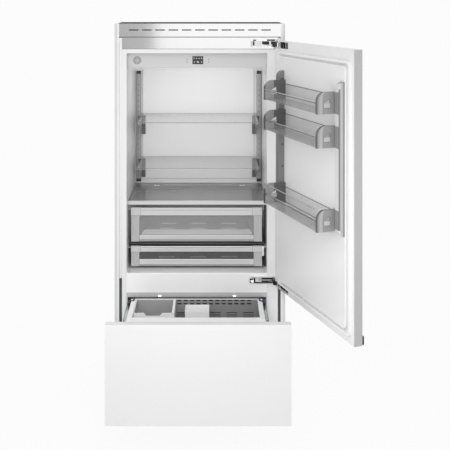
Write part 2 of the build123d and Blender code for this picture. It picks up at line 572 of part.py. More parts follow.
save(air_duct_panel, "air_duct_panel")

# ======================================================================================
# Freezer fittings and evaporator
# ======================================================================================
LENS_WIDTH = 18.0
LENS_HEIGHT = 12.0
with BuildPart() as freezer_light_bar:
    bar_front = FRAME_THICK
    bar_z = (FREEZER_TOP - LIGHT_BAR_HEIGHT, FREEZER_TOP)
    bar_limits = (CAVITY_LEFT + CAVITY_CORNER + 2, CAVITY_RIGHT - CAVITY_CORNER - 2)
    block(bar_limits, (bar_front, bar_front + LIGHT_BAR_DEPTH), bar_z)
    with BuildSketch(upright(bar_front)):
        for lamp_x in LAMP_PLACES:
            with Locations((lamp_x, FREEZER_TOP - LIGHT_BAR_HEIGHT / 2)):
                Ellipse(LENS_WIDTH / 2, LENS_HEIGHT / 2)
    extrude(amount=2)
save(freezer_light_bar, "freezer_light_bar")

COVER_PLATE = 3.0
FAN_X = 150.0
FAN_Y = EVAPORATOR_Y[1] - 90.0
FAN_RADIUS = 50.0
FAN_HOLE = 54.0
with BuildPart() as evaporator_cover:
    block((EVAPORATOR_X[0] + FIT, EVAPORATOR_X[1] - FIT), (EVAPORATOR_Y[0] + FIT, EVAPORATOR_Y[1] - FIT),
          (FREEZER_TOP - 0.5, FREEZER_TOP - 0.5 + COVER_PLATE))
    block((EVAPORATOR_X[0] - 8, EVAPORATOR_X[1] + 8), (EVAPORATOR_Y[0] - 8, EVAPORATOR_Y[1] + 8),
          (FREEZER_TOP - COVER_PLATE, FREEZER_TOP))
    with Locations((FAN_X, FAN_Y, FREEZER_TOP - COVER_PLATE)):
        with PolarLocations(FAN_RADIUS * 0.55, 8):
            Cylinder(6.5, 4 * COVER_PLATE, mode=Mode.SUBTRACT)
    with Locations((-80, EVAPORATOR_Y[0] + 40, FREEZER_TOP)):
        with GridLocations(40, 1, 9, 1):
            Box(24, 7, 4 * COVER_PLATE, mode=Mode.SUBTRACT)
    motor_bottom = FREEZER_TOP - 0.5 + COVER_PLATE
    with BuildSketch(Plane.XY.offset(motor_bottom)):
        with Locations((FAN_X, FAN_Y)):
            Circle(17)
    extrude(amount=16)
save(evaporator_cover, "evaporator_cover")

SHAFT = 3.0
ROTOR_BOTTOM = motor_bottom + 16 + 0.5


def fan_rotor(plane, hub, radius, blade_height, blades):
    """Add a hub with pitched blades, its axis along the plane's normal."""
    with BuildSketch(plane) as hub_shape:
        Circle(hub)
    extrude(hub_shape.sketch, amount=blade_height + 2)
    for number in range(blades):
        turned = plane.location * Rot(0, 0, number * 360 / blades)
        middle = blade_height / 2 + 1
        root = Plane(turned * Pos(hub - 1, 0, middle) * Rot(0, 90, 0) * Rot(0, 0, 28))
        tip = Plane(turned * Pos(radius, 0, middle) * Rot(0, 90, 0) * Rot(0, 0, 50))
        with BuildSketch(root) as root_shape:
            Rectangle(1.6, hub * 1.1)
        with BuildSketch(tip) as tip_shape:
            Rectangle(1.2, hub * 1.5)
        loft([root_shape.sketch.face(), tip_shape.sketch.face()])


with BuildPart() as evaporator_fan:
    fan_rotor(Plane((FAN_X, FAN_Y, ROTOR_BOTTOM)), 16.0, FAN_RADIUS - 8, 18.0, 5)
save(evaporator_fan, "evaporator_fan")

TUBE_RADIUS = 4.0
TUBE_SIDES = 8              # hidden tubes are drawn with flat sides
FIN = 0.8


def finned_coil(plane, size, tubes, fins, pitch):
    """Add a bundle of tubes along a plane's normal, with upright fins across it."""
    with BuildSketch(plane) as bundle:
        with GridLocations(*pitch, *tubes):
            RegularPolygon(TUBE_RADIUS, TUBE_SIDES)
    extrude(bundle.sketch, amount=size[2])
    with BuildSketch(plane) as fin_shape:
        Rectangle(size[0], size[1])
    step = (size[2] - FIN) / (fins - 1)
    for number in range(fins):
        extrude(fin_shape.sketch.moved(Pos(*(plane.z_dir * (number * step)))), amount=FIN)


COIL_X = (-265.0, 125.0)
COIL_Y = (EVAPORATOR_Y[0] + 20.0, FAN_Y - FAN_RADIUS - 50.0)
COIL_Z = (FREEZER_TOP + 13.0, EVAPORATOR_TOP - 13.0)
COIL_MIDDLE = ((COIL_Y[0] + COIL_Y[1]) / 2, (COIL_Z[0] + COIL_Z[1]) / 2)
with BuildPart() as evaporator_coil:
    finned_coil(Plane((COIL_X[0], *COIL_MIDDLE), x_dir=(0, 1, 0), z_dir=(1, 0, 0)),
                (COIL_Y[1] - COIL_Y[0], COIL_Z[1] - COIL_Z[0], COIL_X[1] - COIL_X[0]),
                (3, 2), 7, (50.0, 26.0))
    for foot_x in (COIL_X[0], COIL_X[1] - FIN):
        block((foot_x, foot_x + FIN), COIL_Y, (motor_bottom, COIL_Z[0]))
save(evaporator_coil, "evaporator_coil")

# ======================================================================================
# Machine compartment and base
# ======================================================================================
PAN_BOTTOM = 28.0
PAN_THICK = 2.0
KICK_DEPTH = 14.0           # the kick plate lies flush with the cabinet's front plane
PAN_FRONT = KICK_DEPTH
BASE_FLANGE = 24.0
PAN_TOP = PAN_BOTTOM + PAN_THICK

with BuildPart() as base_frame:
    block((-CASE_HALF, CASE_HALF), (PAN_FRONT, CASE_BACK), (PAN_BOTTOM, BASE_HEIGHT))
    block((-CASE_HALF + PAN_THICK, CASE_HALF - PAN_THICK), (PAN_FRONT - 1, CASE_BACK + 1),
          (PAN_TOP, BASE_HEIGHT - PAN_THICK), Mode.SUBTRACT)
    block((-CASE_HALF + BASE_FLANGE, CASE_HALF - BASE_FLANGE),
          (PAN_FRONT + BASE_FLANGE, CASE_BACK - BASE_FLANGE),
          (BASE_HEIGHT - PAN_THICK, BASE_HEIGHT), Mode.SUBTRACT)
save(base_frame, "base_frame")

FOOT_RADIUS = 24.0
FOOT_HEIGHT = 10.0
STUD_RADIUS = 6.0
FOOT_X = CASE_HALF - 40.0
FOOT_Y = (90.0, DEPTH - 40.0)
with BuildPart() as levelling_feet:
    for foot_x in (-FOOT_X, FOOT_X):
        for foot_y in FOOT_Y:
            with Locations((foot_x, foot_y, 0)):
                Cylinder(FOOT_RADIUS, 4, align=(Align.CENTER, Align.CENTER, Align.MIN))
            with Locations((foot_x, foot_y, 4)):
                Cone(FOOT_RADIUS, STUD_RADIUS + 6, FOOT_HEIGHT - 4,
                     align=(Align.CENTER, Align.CENTER, Align.MIN))
            with Locations((foot_x, foot_y, FOOT_HEIGHT)):
                Cylinder(STUD_RADIUS, PAN_BOTTOM - FOOT_HEIGHT,
                         align=(Align.CENTER, Align.CENTER, Align.MIN))
save(levelling_feet, "levelling_feet")

KICK_HALF = HALF_WIDTH - TRIM_WIDTH - 1.0
KICK_TOP = BASE_HEIGHT - 10.0
LOUVRE_COLUMNS = 4
LOUVRE_ROWS = 3
LOUVRE_LENGTH = 170.0
LOUVRE_WIDTH = 6.0
LOUVRE_PITCH = 196.0
LOUVRE_STEP = 18.0
with BuildPart() as kick_plate:
    block((-KICK_HALF, KICK_HALF), (0, KICK_DEPTH), (0, KICK_TOP))
    block((-KICK_HALF + SHEET, KICK_HALF - SHEET), (SHEET, KICK_DEPTH),
          (SHEET, KICK_TOP - SHEET), Mode.SUBTRACT)
    with BuildSketch(upright(0)):
        with Locations((0, KICK_TOP / 2)):
            with GridLocations(LOUVRE_PITCH, LOUVRE_STEP, LOUVRE_COLUMNS, LOUVRE_ROWS):
                Rectangle(LOUVRE_LENGTH, LOUVRE_WIDTH)
    extrude(amount=-SHEET, mode=Mode.SUBTRACT)
save(kick_plate, "kick_plate")

POT_X = 270.0
POT_Y = DEPTH - 140.0
POT_RADIUS = 78.0
POT_BOTTOM = 40.0
POT_TOP = 158.0
PLATE_HALF = 92.0
with BuildPart() as compressor:
    with BuildSketch(Plane((POT_X, POT_Y, 0), x_dir=(1, 0, 0), z_dir=(0, -1, 0))):
        with BuildLine():
            waist = (POT_BOTTOM + POT_TOP) / 2
            Polyline((0, POT_BOTTOM), (POT_RADIUS * 0.6, POT_BOTTOM))
            ThreePointArc((POT_RADIUS * 0.6, POT_BOTTOM), (POT_RADIUS * 0.9, POT_BOTTOM + 10),
                          (POT_RADIUS, POT_BOTTOM + 32))
            Polyline((POT_RADIUS, POT_BOTTOM + 32), (POT_RADIUS, waist),
                     (POT_RADIUS + 4, waist), (POT_RADIUS + 4, waist + 4),
                     (POT_RADIUS, waist + 4), (POT_RADIUS, POT_TOP - 36))
            ThreePointArc((POT_RADIUS, POT_TOP - 36), (POT_RADIUS * 0.72, POT_TOP - 9),
                          (0, POT_TOP))
            Line((0, POT_TOP), (0, POT_BOTTOM))
        make_face()
    revolve(axis=Axis((POT_X, POT_Y, 0), (0, 0, 1)))
    block((POT_X - PLATE_HALF, POT_X + PLATE_HALF), (POT_Y - PLATE_HALF, POT_Y + PLATE_HALF),
          (POT_BOTTOM - 2, POT_BOTTOM + 1))
    with Locations((POT_X, POT_Y, PAN_TOP)):
        with GridLocations(2 * PLATE_HALF - 30, 2 * PLATE_HALF - 30, 2, 2):
            Cylinder(11, POT_BOTTOM - 2 - PAN_TOP, align=(Align.CENTER, Align.CENTER, Align.MIN))
    block((POT_X - POT_RADIUS - 22, POT_X - POT_RADIUS + 8), (POT_Y - 25, POT_Y + 25),
          (waist - 34, waist + 26))
save(compressor, "compressor")

CONDENSER_X = (-420.0, -160.0)
CONDENSER_Y = (110.0, 380.0)
CONDENSER_Z = (PAN_TOP + 10, BASE_HEIGHT - 25.0)
CONDENSER_MIDDLE = ((CONDENSER_X[0] + CONDENSER_X[1]) / 2, (CONDENSER_Z[0] + CONDENSER_Z[1]) / 2)
with BuildPart() as condenser_coil:
    finned_coil(Plane((CONDENSER_MIDDLE[0], CONDENSER_Y[0], CONDENSER_MIDDLE[1]),
                      x_dir=(1, 0, 0), z_dir=(0, 1, 0)),
                (CONDENSER_X[1] - CONDENSER_X[0], CONDENSER_Z[1] - CONDENSER_Z[0],
                 CONDENSER_Y[1] - CONDENSER_Y[0]), (3, 2), 6, (80.0, 50.0))
    for foot_y in (CONDENSER_Y[0], CONDENSER_Y[1] - FIN):
        block(CONDENSER_X, (foot_y, foot_y + FIN), (PAN_TOP, CONDENSER_Z[0]))
save(condenser_coil, "condenser_coil")

SHROUD_X = -140.0
SHROUD_RADIUS = 58.0
SHROUD_HALF = 80.0          # half of the plate's width
MOTOR_GAP = 0.5
BLOWER_Y = 245.0
BLOWER_Z = 98.0
ROTOR_START = SHROUD_X + 12.0
ROTOR_LENGTH = 22.0
with BuildPart() as condenser_fan_shroud:
    block((SHROUD_X, SHROUD_X + 3), (BLOWER_Y - SHROUD_HALF, BLOWER_Y + SHROUD_HALF),
          (PAN_TOP, BASE_HEIGHT - 10.0))
    block((SHROUD_X, SHROUD_X + 70), (BLOWER_Y - 22, BLOWER_Y + 22), (PAN_TOP, PAN_TOP + 2))
    with Locations(Plane((SHROUD_X + 1.5, BLOWER_Y, BLOWER_Z), z_dir=(1, 0, 0))):
        Cylinder(SHROUD_RADIUS, 10, mode=Mode.SUBTRACT)
    motor_start = ROTOR_START + ROTOR_LENGTH + MOTOR_GAP
    with BuildSketch(Plane((motor_start, BLOWER_Y, BLOWER_Z), z_dir=(1, 0, 0))):
        Circle(18)
    extrude(amount=30)
    block((motor_start + 10, motor_start + 16), (BLOWER_Y - 12, BLOWER_Y + 12),
          (PAN_TOP, BLOWER_Z))
save(condenser_fan_shroud, "condenser_fan_shroud")

with BuildPart() as condenser_fan:
    fan_rotor(Plane((ROTOR_START, BLOWER_Y, BLOWER_Z), z_dir=(1, 0, 0)), 16.0,
              SHROUD_RADIUS - 14, ROTOR_LENGTH - 2, 5)
save(condenser_fan, "condenser_fan")

DRIP_X = (-60.0, 130.0)
DRIP_Y = (DEPTH - 220.0, DEPTH - 30.0)
DRIP_HEIGHT = 34.0
with BuildPart() as drip_pan:
    block(DRIP_X, DRIP_Y, (PAN_TOP, PAN_TOP + DRIP_HEIGHT))
    fillet(drip_pan.edges().filter_by(Axis.Z), 14)
    offset(amount=-2, openings=drip_pan.faces().sort_by(Axis.Z)[-1:], mode=Mode.REPLACE)
save(drip_pan, "drip_pan")

# ======================================================================================
# Door, drawn on planes that stand open with it
# ======================================================================================
SHUT_PLANE = Plane((DOOR_WIDTH / 2, -DOOR_GAP, 0), x_dir=(-1, 0, 0), z_dir=(0, 0, 1))
SWING = Pos(HINGE_X, HINGE_Y, 0) * Rot(0, 0, DOOR_OPEN) * Pos(-HINGE_X, -HINGE_Y, 0)
DOOR_PLACE = SWING * SHUT_PLANE.location
ALONG_DOOR = Plane(DOOR_PLACE).x_dir
INTO_ROOM = Plane(DOOR_PLACE).y_dir * -1    # out of the door's inner face


def door_block(s, q, z, mode=Mode.ADD):
    """Add a box on the door: s along it from the hinge edge, q out of its inner face, z up."""
    middle = Pos((s[0] + s[1]) / 2, -(q[0] + q[1]) / 2, (z[0] + z[1]) / 2)
    with Locations(DOOR_PLACE * middle):
        Box(s[1] - s[0], q[1] - q[0], z[1] - z[0], mode=mode)


def door_face(q):
    """A plane on the door's inner side at height q above it; its local axes are s and Z."""
    return Plane((DOOR_PLACE * Pos(0, -q, 0)).position, x_dir=ALONG_DOOR, z_dir=INTO_ROOM)


def door_across(s):
    """A plane across the door at s; its local axes are q and Z, its normal points to the hinge."""
    return Plane((DOOR_PLACE * Pos(s, 0, 0)).position, x_dir=INTO_ROOM, z_dir=ALONG_DOOR * -1)


def door_level(z):
    """A level plane at height z; its local axes are s and the way out of the door's front."""
    return Plane((DOOR_PLACE * Pos(0, 0, z)).position, x_dir=ALONG_DOOR, z_dir=(0, 0, 1))


def hinge_pockets(q_low, q_high):
    """Cut the pockets that the hinges fold into."""
    for bottom, height in HINGES:
        door_block((-1, POCKET_LENGTH), (q_low, q_high), (bottom - FIT, bottom + height + FIT + 0.2),
                   Mode.SUBTRACT)


DOOR_HEIGHTS = (DOOR_BOTTOM, DOOR_TOP)
INNER_S = (SHEET, DOOR_WIDTH - SHEET)
INNER_Z = (DOOR_BOTTOM + SHEET, DOOR_TOP - SHEET)
LINER_SHEET = 2.0
with BuildPart() as door_panel:
    door_block((0, DOOR_WIDTH), (-DOOR_THICK, 0), DOOR_HEIGHTS)
    door_block(INNER_S, (-DOOR_THICK + SHEET, 1), INNER_Z, Mode.SUBTRACT)
    for bottom, height in HINGES:
        door_block((-1, SHEET + 1), (-POCKET_DEPTH, 1),
                   (bottom - FIT, bottom + height + FIT + 0.2), Mode.SUBTRACT)
save(door_panel, "door_panel")


def plug_outline(plane, inset):
    """A rounded outline of the inner plug, drawn inwards by the given inset."""
    middle = ((PLUG_HINGE_SIDE + PLUG_FREE_SIDE) / 2, (PLUG_BOTTOM + PLUG_TOP) / 2)
    with BuildSketch(plane) as outline:
        with Locations(middle):
            RectangleRounded(PLUG_FREE_SIDE - PLUG_HINGE_SIDE - 2 * inset,
                             PLUG_TOP - PLUG_BOTTOM - 2 * inset,
                             PLUG_CORNER - inset)
    return outline.sketch


with BuildPart() as door_core:
    door_block(INNER_S, (-DOOR_THICK + SHEET, -LINER_SHEET), INNER_Z)
    extrude(plug_outline(door_face(-LINER_SHEET), LINER_SHEET), amount=PLUG_FACE)
    hinge_pockets(-POCKET_DEPTH, 1)
save(door_core, "door_core")

with BuildPart() as door_liner:
    door_block(INNER_S, (-LINER_SHEET, 0), INNER_Z)
    extrude(plug_outline(door_face(0), 0), amount=PLUG_FACE)
    plug_front = door_liner.faces().filter_by(door_face(0)).sort_by(Axis((0, 0, 0), INTO_ROOM))[-1]
    fillet(plug_front.edges(), EDGE)
    extrude(plug_outline(door_face(-LINER_SHEET), LINER_SHEET), amount=PLUG_FACE,
            mode=Mode.SUBTRACT)
    hinge_pockets(-POCKET_DEPTH, 1)
save(door_liner, "door_liner")


def gasket_ring(plane, low, high, depth, direction=1.0):
    """Add a gasket: a rounded ring between two corners of its outer outline."""
    size = (high[0] - low[0], high[1] - low[1])
    with BuildSketch(plane) as ring:
        with Locations(((low[0] + high[0]) / 2, (low[1] + high[1]) / 2)):
            RectangleRounded(*size, GASKET_CORNER)
            RectangleRounded(size[0] - 2 * GASKET_WIDTH, size[1] - 2 * GASKET_WIDTH,
                             GASKET_CORNER - GASKET_WIDTH, mode=Mode.SUBTRACT)
    extrude(ring.sketch, amount=direction * depth)


with BuildPart() as door_gasket:
    gasket_ring(door_face(0), (GASKET_HINGE_SIDE, GASKET_BOTTOM), (GASKET_FREE_SIDE, GASKET_TOP),
                DOOR_GAP - FIT)
save(door_gasket, "door_gasket")

with BuildPart() as door_rails:
    rail_depth = DOOR_RAIL_FACE - PLUG_FACE
    for place in DOOR_RAIL_PLACES:
        with BuildSketch(door_across(place)) as side_view:
            with BuildLine():
                low, high = DOOR_RAIL_BOTTOM, DOOR_RAIL_TOP
                Line((PLUG_FACE, low), (PLUG_FACE, high))
                RadiusArc((PLUG_FACE, high), (DOOR_RAIL_FACE, high - rail_depth), rail_depth)
                Line((DOOR_RAIL_FACE, high - rail_depth), (DOOR_RAIL_FACE, low + rail_depth))
                RadiusArc((DOOR_RAIL_FACE, low + rail_depth), (PLUG_FACE, low), rail_depth)
            make_face()
        extrude(side_view.sketch, amount=-DOOR_RAIL_WIDTH)
save(door_rails, "door_rails")

BIN_HEEL = PLUG_FACE + FIT
ARCH = BIN_BACK_HEIGHT - BIN_FRONT_HEIGHT
TRAY_FRONT_HEIGHT = BIN_FRONT_HEIGHT - 8.0
TRAY_BACK_HEIGHT = BIN_BACK_HEIGHT - 20.0
BIN_RAIL = 7.0
for bin_name, bin_bottom in BIN_BOTTOMS.items():
    with BuildPart() as bin_tray:
        with BuildSketch(door_across(BIN_START + BIN_CAP)):
            with BuildLine():
                inner_back = BIN_HEEL + BIN_WALL
                inner_front = BIN_FRONT - BIN_WALL
                Polyline((BIN_HEEL, bin_bottom + TRAY_BACK_HEIGHT), (BIN_HEEL, bin_bottom + 2),
                         (BIN_FRONT, bin_bottom + 2), (BIN_FRONT, bin_bottom + TRAY_FRONT_HEIGHT),
                         (inner_front, bin_bottom + TRAY_FRONT_HEIGHT),
                         (inner_front, bin_bottom + 2 + BIN_WALL),
                         (inner_back, bin_bottom + 2 + BIN_WALL),
                         (inner_back, bin_bottom + TRAY_BACK_HEIGHT), close=True)
            make_face()
        extrude(amount=-(BIN_END - BIN_START - 2 * BIN_CAP))
    save(bin_tray, f"{bin_name}_bin_tray")

CAP_WINDOW = ((68.0, 26.0), (100.0, 26.0), (100.0, 48.0), (68.0, 66.0))
with BuildPart() as bin_end_caps:
    for bin_bottom in BIN_BOTTOMS.values():
        for place in (BIN_START, BIN_END - BIN_CAP):
            with BuildSketch(door_across(place)) as cap_shape:
                with BuildLine():
                    top = bin_bottom + BIN_BACK_HEIGHT
                    shoulder = bin_bottom + BIN_FRONT_HEIGHT
                    Polyline((BIN_FRONT, shoulder), (BIN_FRONT, bin_bottom), (BIN_HEEL, bin_bottom),
                             (BIN_HEEL, top), (BIN_FRONT - ARCH, top))
                    RadiusArc((BIN_FRONT - ARCH, top), (BIN_FRONT, shoulder), ARCH)
                make_face()
                with BuildLine():
                    Polyline(*[(q, bin_bottom + z) for q, z in CAP_WINDOW], close=True)
                make_face(mode=Mode.SUBTRACT)
            extrude(cap_shape.sketch, amount=-BIN_CAP)
save(bin_end_caps, "bin_end_caps")

WIRE_RADIUS = 2.2
WIRE_ARM = 62.0
with BuildPart() as bin_front_rails:
    for bin_name in ("middle", "upper"):
        rail_z = BIN_BOTTOMS[bin_name] + TRAY_FRONT_HEIGHT
        door_block((BIN_START + BIN_CAP, BIN_END - BIN_CAP), (BIN_FRONT - BIN_RAIL, BIN_FRONT),
                   (rail_z, rail_z + BIN_RAIL))
    wire_z = BIN_BOTTOMS["lower"] + BIN_BACK_HEIGHT + WIRE_RADIUS
    wire_front = BIN_FRONT - WIRE_RADIUS
    wire_ends = (BIN_START + BIN_CAP / 2, BIN_END - BIN_CAP / 2)
    with BuildLine(door_level(wire_z)) as wire_path:
        FilletPolyline((wire_ends[0], -(wire_front - WIRE_ARM)), (wire_ends[0], -wire_front),
                       (wire_ends[1], -wire_front), (wire_ends[1], -(wire_front - WIRE_ARM)),
                       radius=10)
    with BuildSketch(Plane(wire_path.line @ 0, z_dir=wire_path.line % 0)) as wire_section:
        Circle(WIRE_RADIUS)
    sweep(wire_section.sketch, path=wire_path.line)
    lower_rail_z = BIN_BOTTOMS["lower"] + TRAY_FRONT_HEIGHT
    door_block((BIN_START + BIN_CAP, BIN_END - BIN_CAP), (BIN_FRONT - BIN_RAIL, BIN_FRONT),
               (lower_rail_z, lower_rail_z + BIN_RAIL))
save(bin_front_rails, "bin_front_rails")

with BuildPart() as door_bumper:
    door_block((DOOR_WIDTH - BUMPER_WIDTH, DOOR_WIDTH), (-DOOR_THICK - BUMPER_THICK, -DOOR_THICK),
               (DOOR_BOTTOM + 4, DOOR_BOTTOM + 4 + BUMPER_HEIGHT))
    fillet(door_bumper.edges().filter_by(Axis.Z), 2.5)
save(door_bumper, "door_bumper")

# ======================================================================================
# Hinges: a leaf on the cabinet, a leaf on the door and two folding links between them
# ======================================================================================
PIN_HOLE = LINK_PIN + PIN_PLAY
LEAF_CORNER = 5.0
LINK_INSET = HINGE_PLATE + 0.5      # the outer links lie just inside the leaves' flanges


def shut_to_open(point):
    """Where a point fixed to the door, given for the shut door, stands with the door open."""
    place = SWING * Pos(point[0], point[1], 0)
    return place.position.X, place.position.Y


def leaf_flanges(hinge):
    """The two flange bottoms of a hinge's leaf."""
    bottom, height = hinge
    return bottom, bottom + height - HINGE_PLATE


with BuildPart() as cabinet_hinge_leaves:
    for hinge in HINGES:
        bottom, height = hinge
        block((HINGE_LEFT, HINGE_RIGHT), (-HINGE_PLATE, 0), (bottom, bottom + height))
        for flange_bottom in leaf_flanges(hinge):
            with BuildSketch(Plane.XY.offset(flange_bottom)) as flange_shape:
                with Locations(((HINGE_LEFT + HINGE_RIGHT) / 2, -HINGE_DEPTH / 2)):
                    Rectangle(HINGE_RIGHT - HINGE_LEFT, HINGE_DEPTH)
                fillet(flange_shape.vertices().group_by(Axis.Y)[0], LEAF_CORNER)
                with Locations(CABINET_PIVOT):
                    Circle(PIN_HOLE, mode=Mode.SUBTRACT)
            extrude(flange_shape.sketch, amount=HINGE_PLATE)
        block((HINGE_LEFT + 22, HINGE_LEFT + 56), (-15, -HINGE_PLATE),
              (bottom + HINGE_PLATE, bottom + height - HINGE_PLATE))
        with Locations(*[Plane((HINGE_LEFT + 11, -HINGE_PLATE, bottom + height * share),
                               z_dir=(0, -1, 0)) for share in (0.3, 0.7)]):
            Cylinder(4, 2, align=(Align.CENTER, Align.CENTER, Align.MIN))
save(cabinet_hinge_leaves, "cabinet_hinge_leaves")

PIVOT_S = DOOR_WIDTH / 2 - DOOR_PIVOT[0]
PIVOT_Q = DOOR_PIVOT[1] + DOOR_GAP
with BuildPart() as door_hinge_leaves:
    for hinge in HINGES:
        bottom, height = hinge
        floor_q = (-POCKET_DEPTH, -POCKET_DEPTH + 2.0)
        door_block((LEAF_START, LEAF_LENGTH), floor_q, (bottom, bottom + height))
        for flange_bottom in leaf_flanges(hinge):
            door_block((LEAF_START, LEAF_LENGTH), (floor_q[1], -LEAF_FRONT),
                       (flange_bottom, flange_bottom + HINGE_PLATE))
        door_block((LEAF_LENGTH - 42, LEAF_LENGTH - 8), (floor_q[1], -LEAF_FRONT),
                   (bottom + HINGE_PLATE, bottom + height - HINGE_PLATE))
        with Locations(DOOR_PLACE * Pos(PIVOT_S, -PIVOT_Q, bottom + height / 2)):
            Cylinder(PIN_HOLE, height + 2, mode=Mode.SUBTRACT)
save(door_hinge_leaves, "door_hinge_leaves")

OPEN_DOOR_PIVOT = shut_to_open(DOOR_PIVOT)


def elbow(a, b, side):
    """The point at one link length from both a and b, on the given side of the line a to b."""
    dx, dy = b[0] - a[0], b[1] - a[1]
    half = (dx * dx + dy * dy) ** 0.5 / 2
    rise = (LINK_LENGTH * LINK_LENGTH - half * half) ** 0.5
    ux, uy = dx / (2 * half), dy / (2 * half)
    return (a[0] + b[0]) / 2 + side * rise * uy, (a[1] + b[1]) / 2 - side * rise * ux


OPEN_ELBOW = elbow(CABINET_PIVOT, OPEN_DOOR_PIVOT, 1)
SHUT_ELBOW = elbow(CABINET_PIVOT, DOOR_PIVOT, 1)


def link_bar(start, end, bottom, thick):
    """Add a flat bar with round ends between two pivots, with a hole for the pin at its end."""
    angle = degrees(atan2(end[1] - start[1], end[0] - start[0]))
    middle = ((start[0] + end[0]) / 2, (start[1] + end[1]) / 2)
    with BuildSketch(Plane.XY.offset(bottom)) as bar:
        with Locations(Pos(*middle) * Rot(0, 0, angle)):
            SlotCenterToCenter(LINK_LENGTH, LINK_WIDTH)
        with Locations(end):
            Circle(LINK_PIN, mode=Mode.SUBTRACT)
    extrude(bar.sketch, amount=thick)


with BuildPart() as cabinet_hinge_links:
    for bottom, height in HINGES:
        layers = (bottom + LINK_INSET, bottom + height - LINK_INSET - LINK_THICK)
        for layer in layers:
            link_bar(CABINET_PIVOT, OPEN_ELBOW, layer, LINK_THICK)
        with Locations((*CABINET_PIVOT, bottom + height / 2)):
            Cylinder(LINK_PIN, height)
            Cylinder(LINK_PIN + 2, height - 2 * LINK_INSET)
save(cabinet_hinge_links, "cabinet_hinge_links")

with BuildPart() as door_hinge_links:
    for bottom, height in HINGES:
        start = bottom + LINK_INSET + LINK_THICK + LINK_PLAY
        end = bottom + height - LINK_INSET - LINK_THICK - LINK_PLAY
        link_bar(OPEN_DOOR_PIVOT, OPEN_ELBOW, start, end - start)
        with Locations((*OPEN_DOOR_PIVOT, bottom + height / 2)):
            Cylinder(LINK_PIN, height)
            Cylinder(LINK_PIN + 2, height - 2 * LINK_INSET)
save(door_hinge_links, "door_hinge_links")

# ======================================================================================
# Freezer drawer, drawn pulled out by its travel
# ======================================================================================


def pulled(y_low, y_high):
    """Depth limits of a drawer piece, given for the shut drawer, moved out by the travel."""
    return y_low - DRAWER_TRAVEL, y_high - DRAWER_TRAVEL


FRONT_LIMITS = (-DOOR_WIDTH / 2, DOOR_WIDTH / 2)
FRONT_DEPTH = (-DOOR_GAP - DOOR_THICK, -DOOR_GAP)
DRAWER_HEIGHTS = (DRAWER_BOTTOM, DRAWER_TOP)
DRAWER_PLUG_X = (DOOR_WIDTH / 2 - PLUG_FREE_SIDE, DOOR_WIDTH / 2 - PLUG_HINGE_SIDE)
DRAWER_PLUG_Z = (FREEZER_FLOOR + 8, SLIDE_BOTTOM - 12)
DRAWER_PLUG = 15.0
CORE_X = (FRONT_LIMITS[0] + SHEET, FRONT_LIMITS[1] - SHEET)
CORE_Z = (DRAWER_BOTTOM + SHEET, DRAWER_TOP - SHEET)

with BuildPart() as drawer_panel:
    block(FRONT_LIMITS, pulled(*FRONT_DEPTH), DRAWER_HEIGHTS)
    block(CORE_X, pulled(FRONT_DEPTH[0] + SHEET, FRONT_DEPTH[1] + 1), CORE_Z, Mode.SUBTRACT)
save(drawer_panel, "drawer_panel")

with BuildPart() as drawer_core:
    block(CORE_X, pulled(FRONT_DEPTH[0] + SHEET, FRONT_DEPTH[1] - LINER_SHEET), CORE_Z)
save(drawer_core, "drawer_core")

with BuildPart() as drawer_liner:
    block(CORE_X, pulled(FRONT_DEPTH[1] - LINER_SHEET, FRONT_DEPTH[1]), CORE_Z)
    block(DRAWER_PLUG_X, pulled(FRONT_DEPTH[1], FRONT_DEPTH[1] + DRAWER_PLUG), DRAWER_PLUG_Z)
    back_face = drawer_liner.faces().sort_by(Axis.Y)[-1]
    fillet(back_face.edges(), EDGE * 1.5)
save(drawer_liner, "drawer_liner")

with BuildPart() as drawer_gasket:
    ring_x = (DOOR_WIDTH / 2 - GASKET_FREE_SIDE, DOOR_WIDTH / 2 - GASKET_HINGE_SIDE)
    ring_plane = Plane.XZ.offset(-(FRONT_DEPTH[1] - DRAWER_TRAVEL))
    gasket_ring(ring_plane, (ring_x[0], FREEZER_FLOOR - 14), (ring_x[1], FREEZER_TOP + 14),
                DOOR_GAP - FIT, -1.0)
save(drawer_gasket, "drawer_gasket")

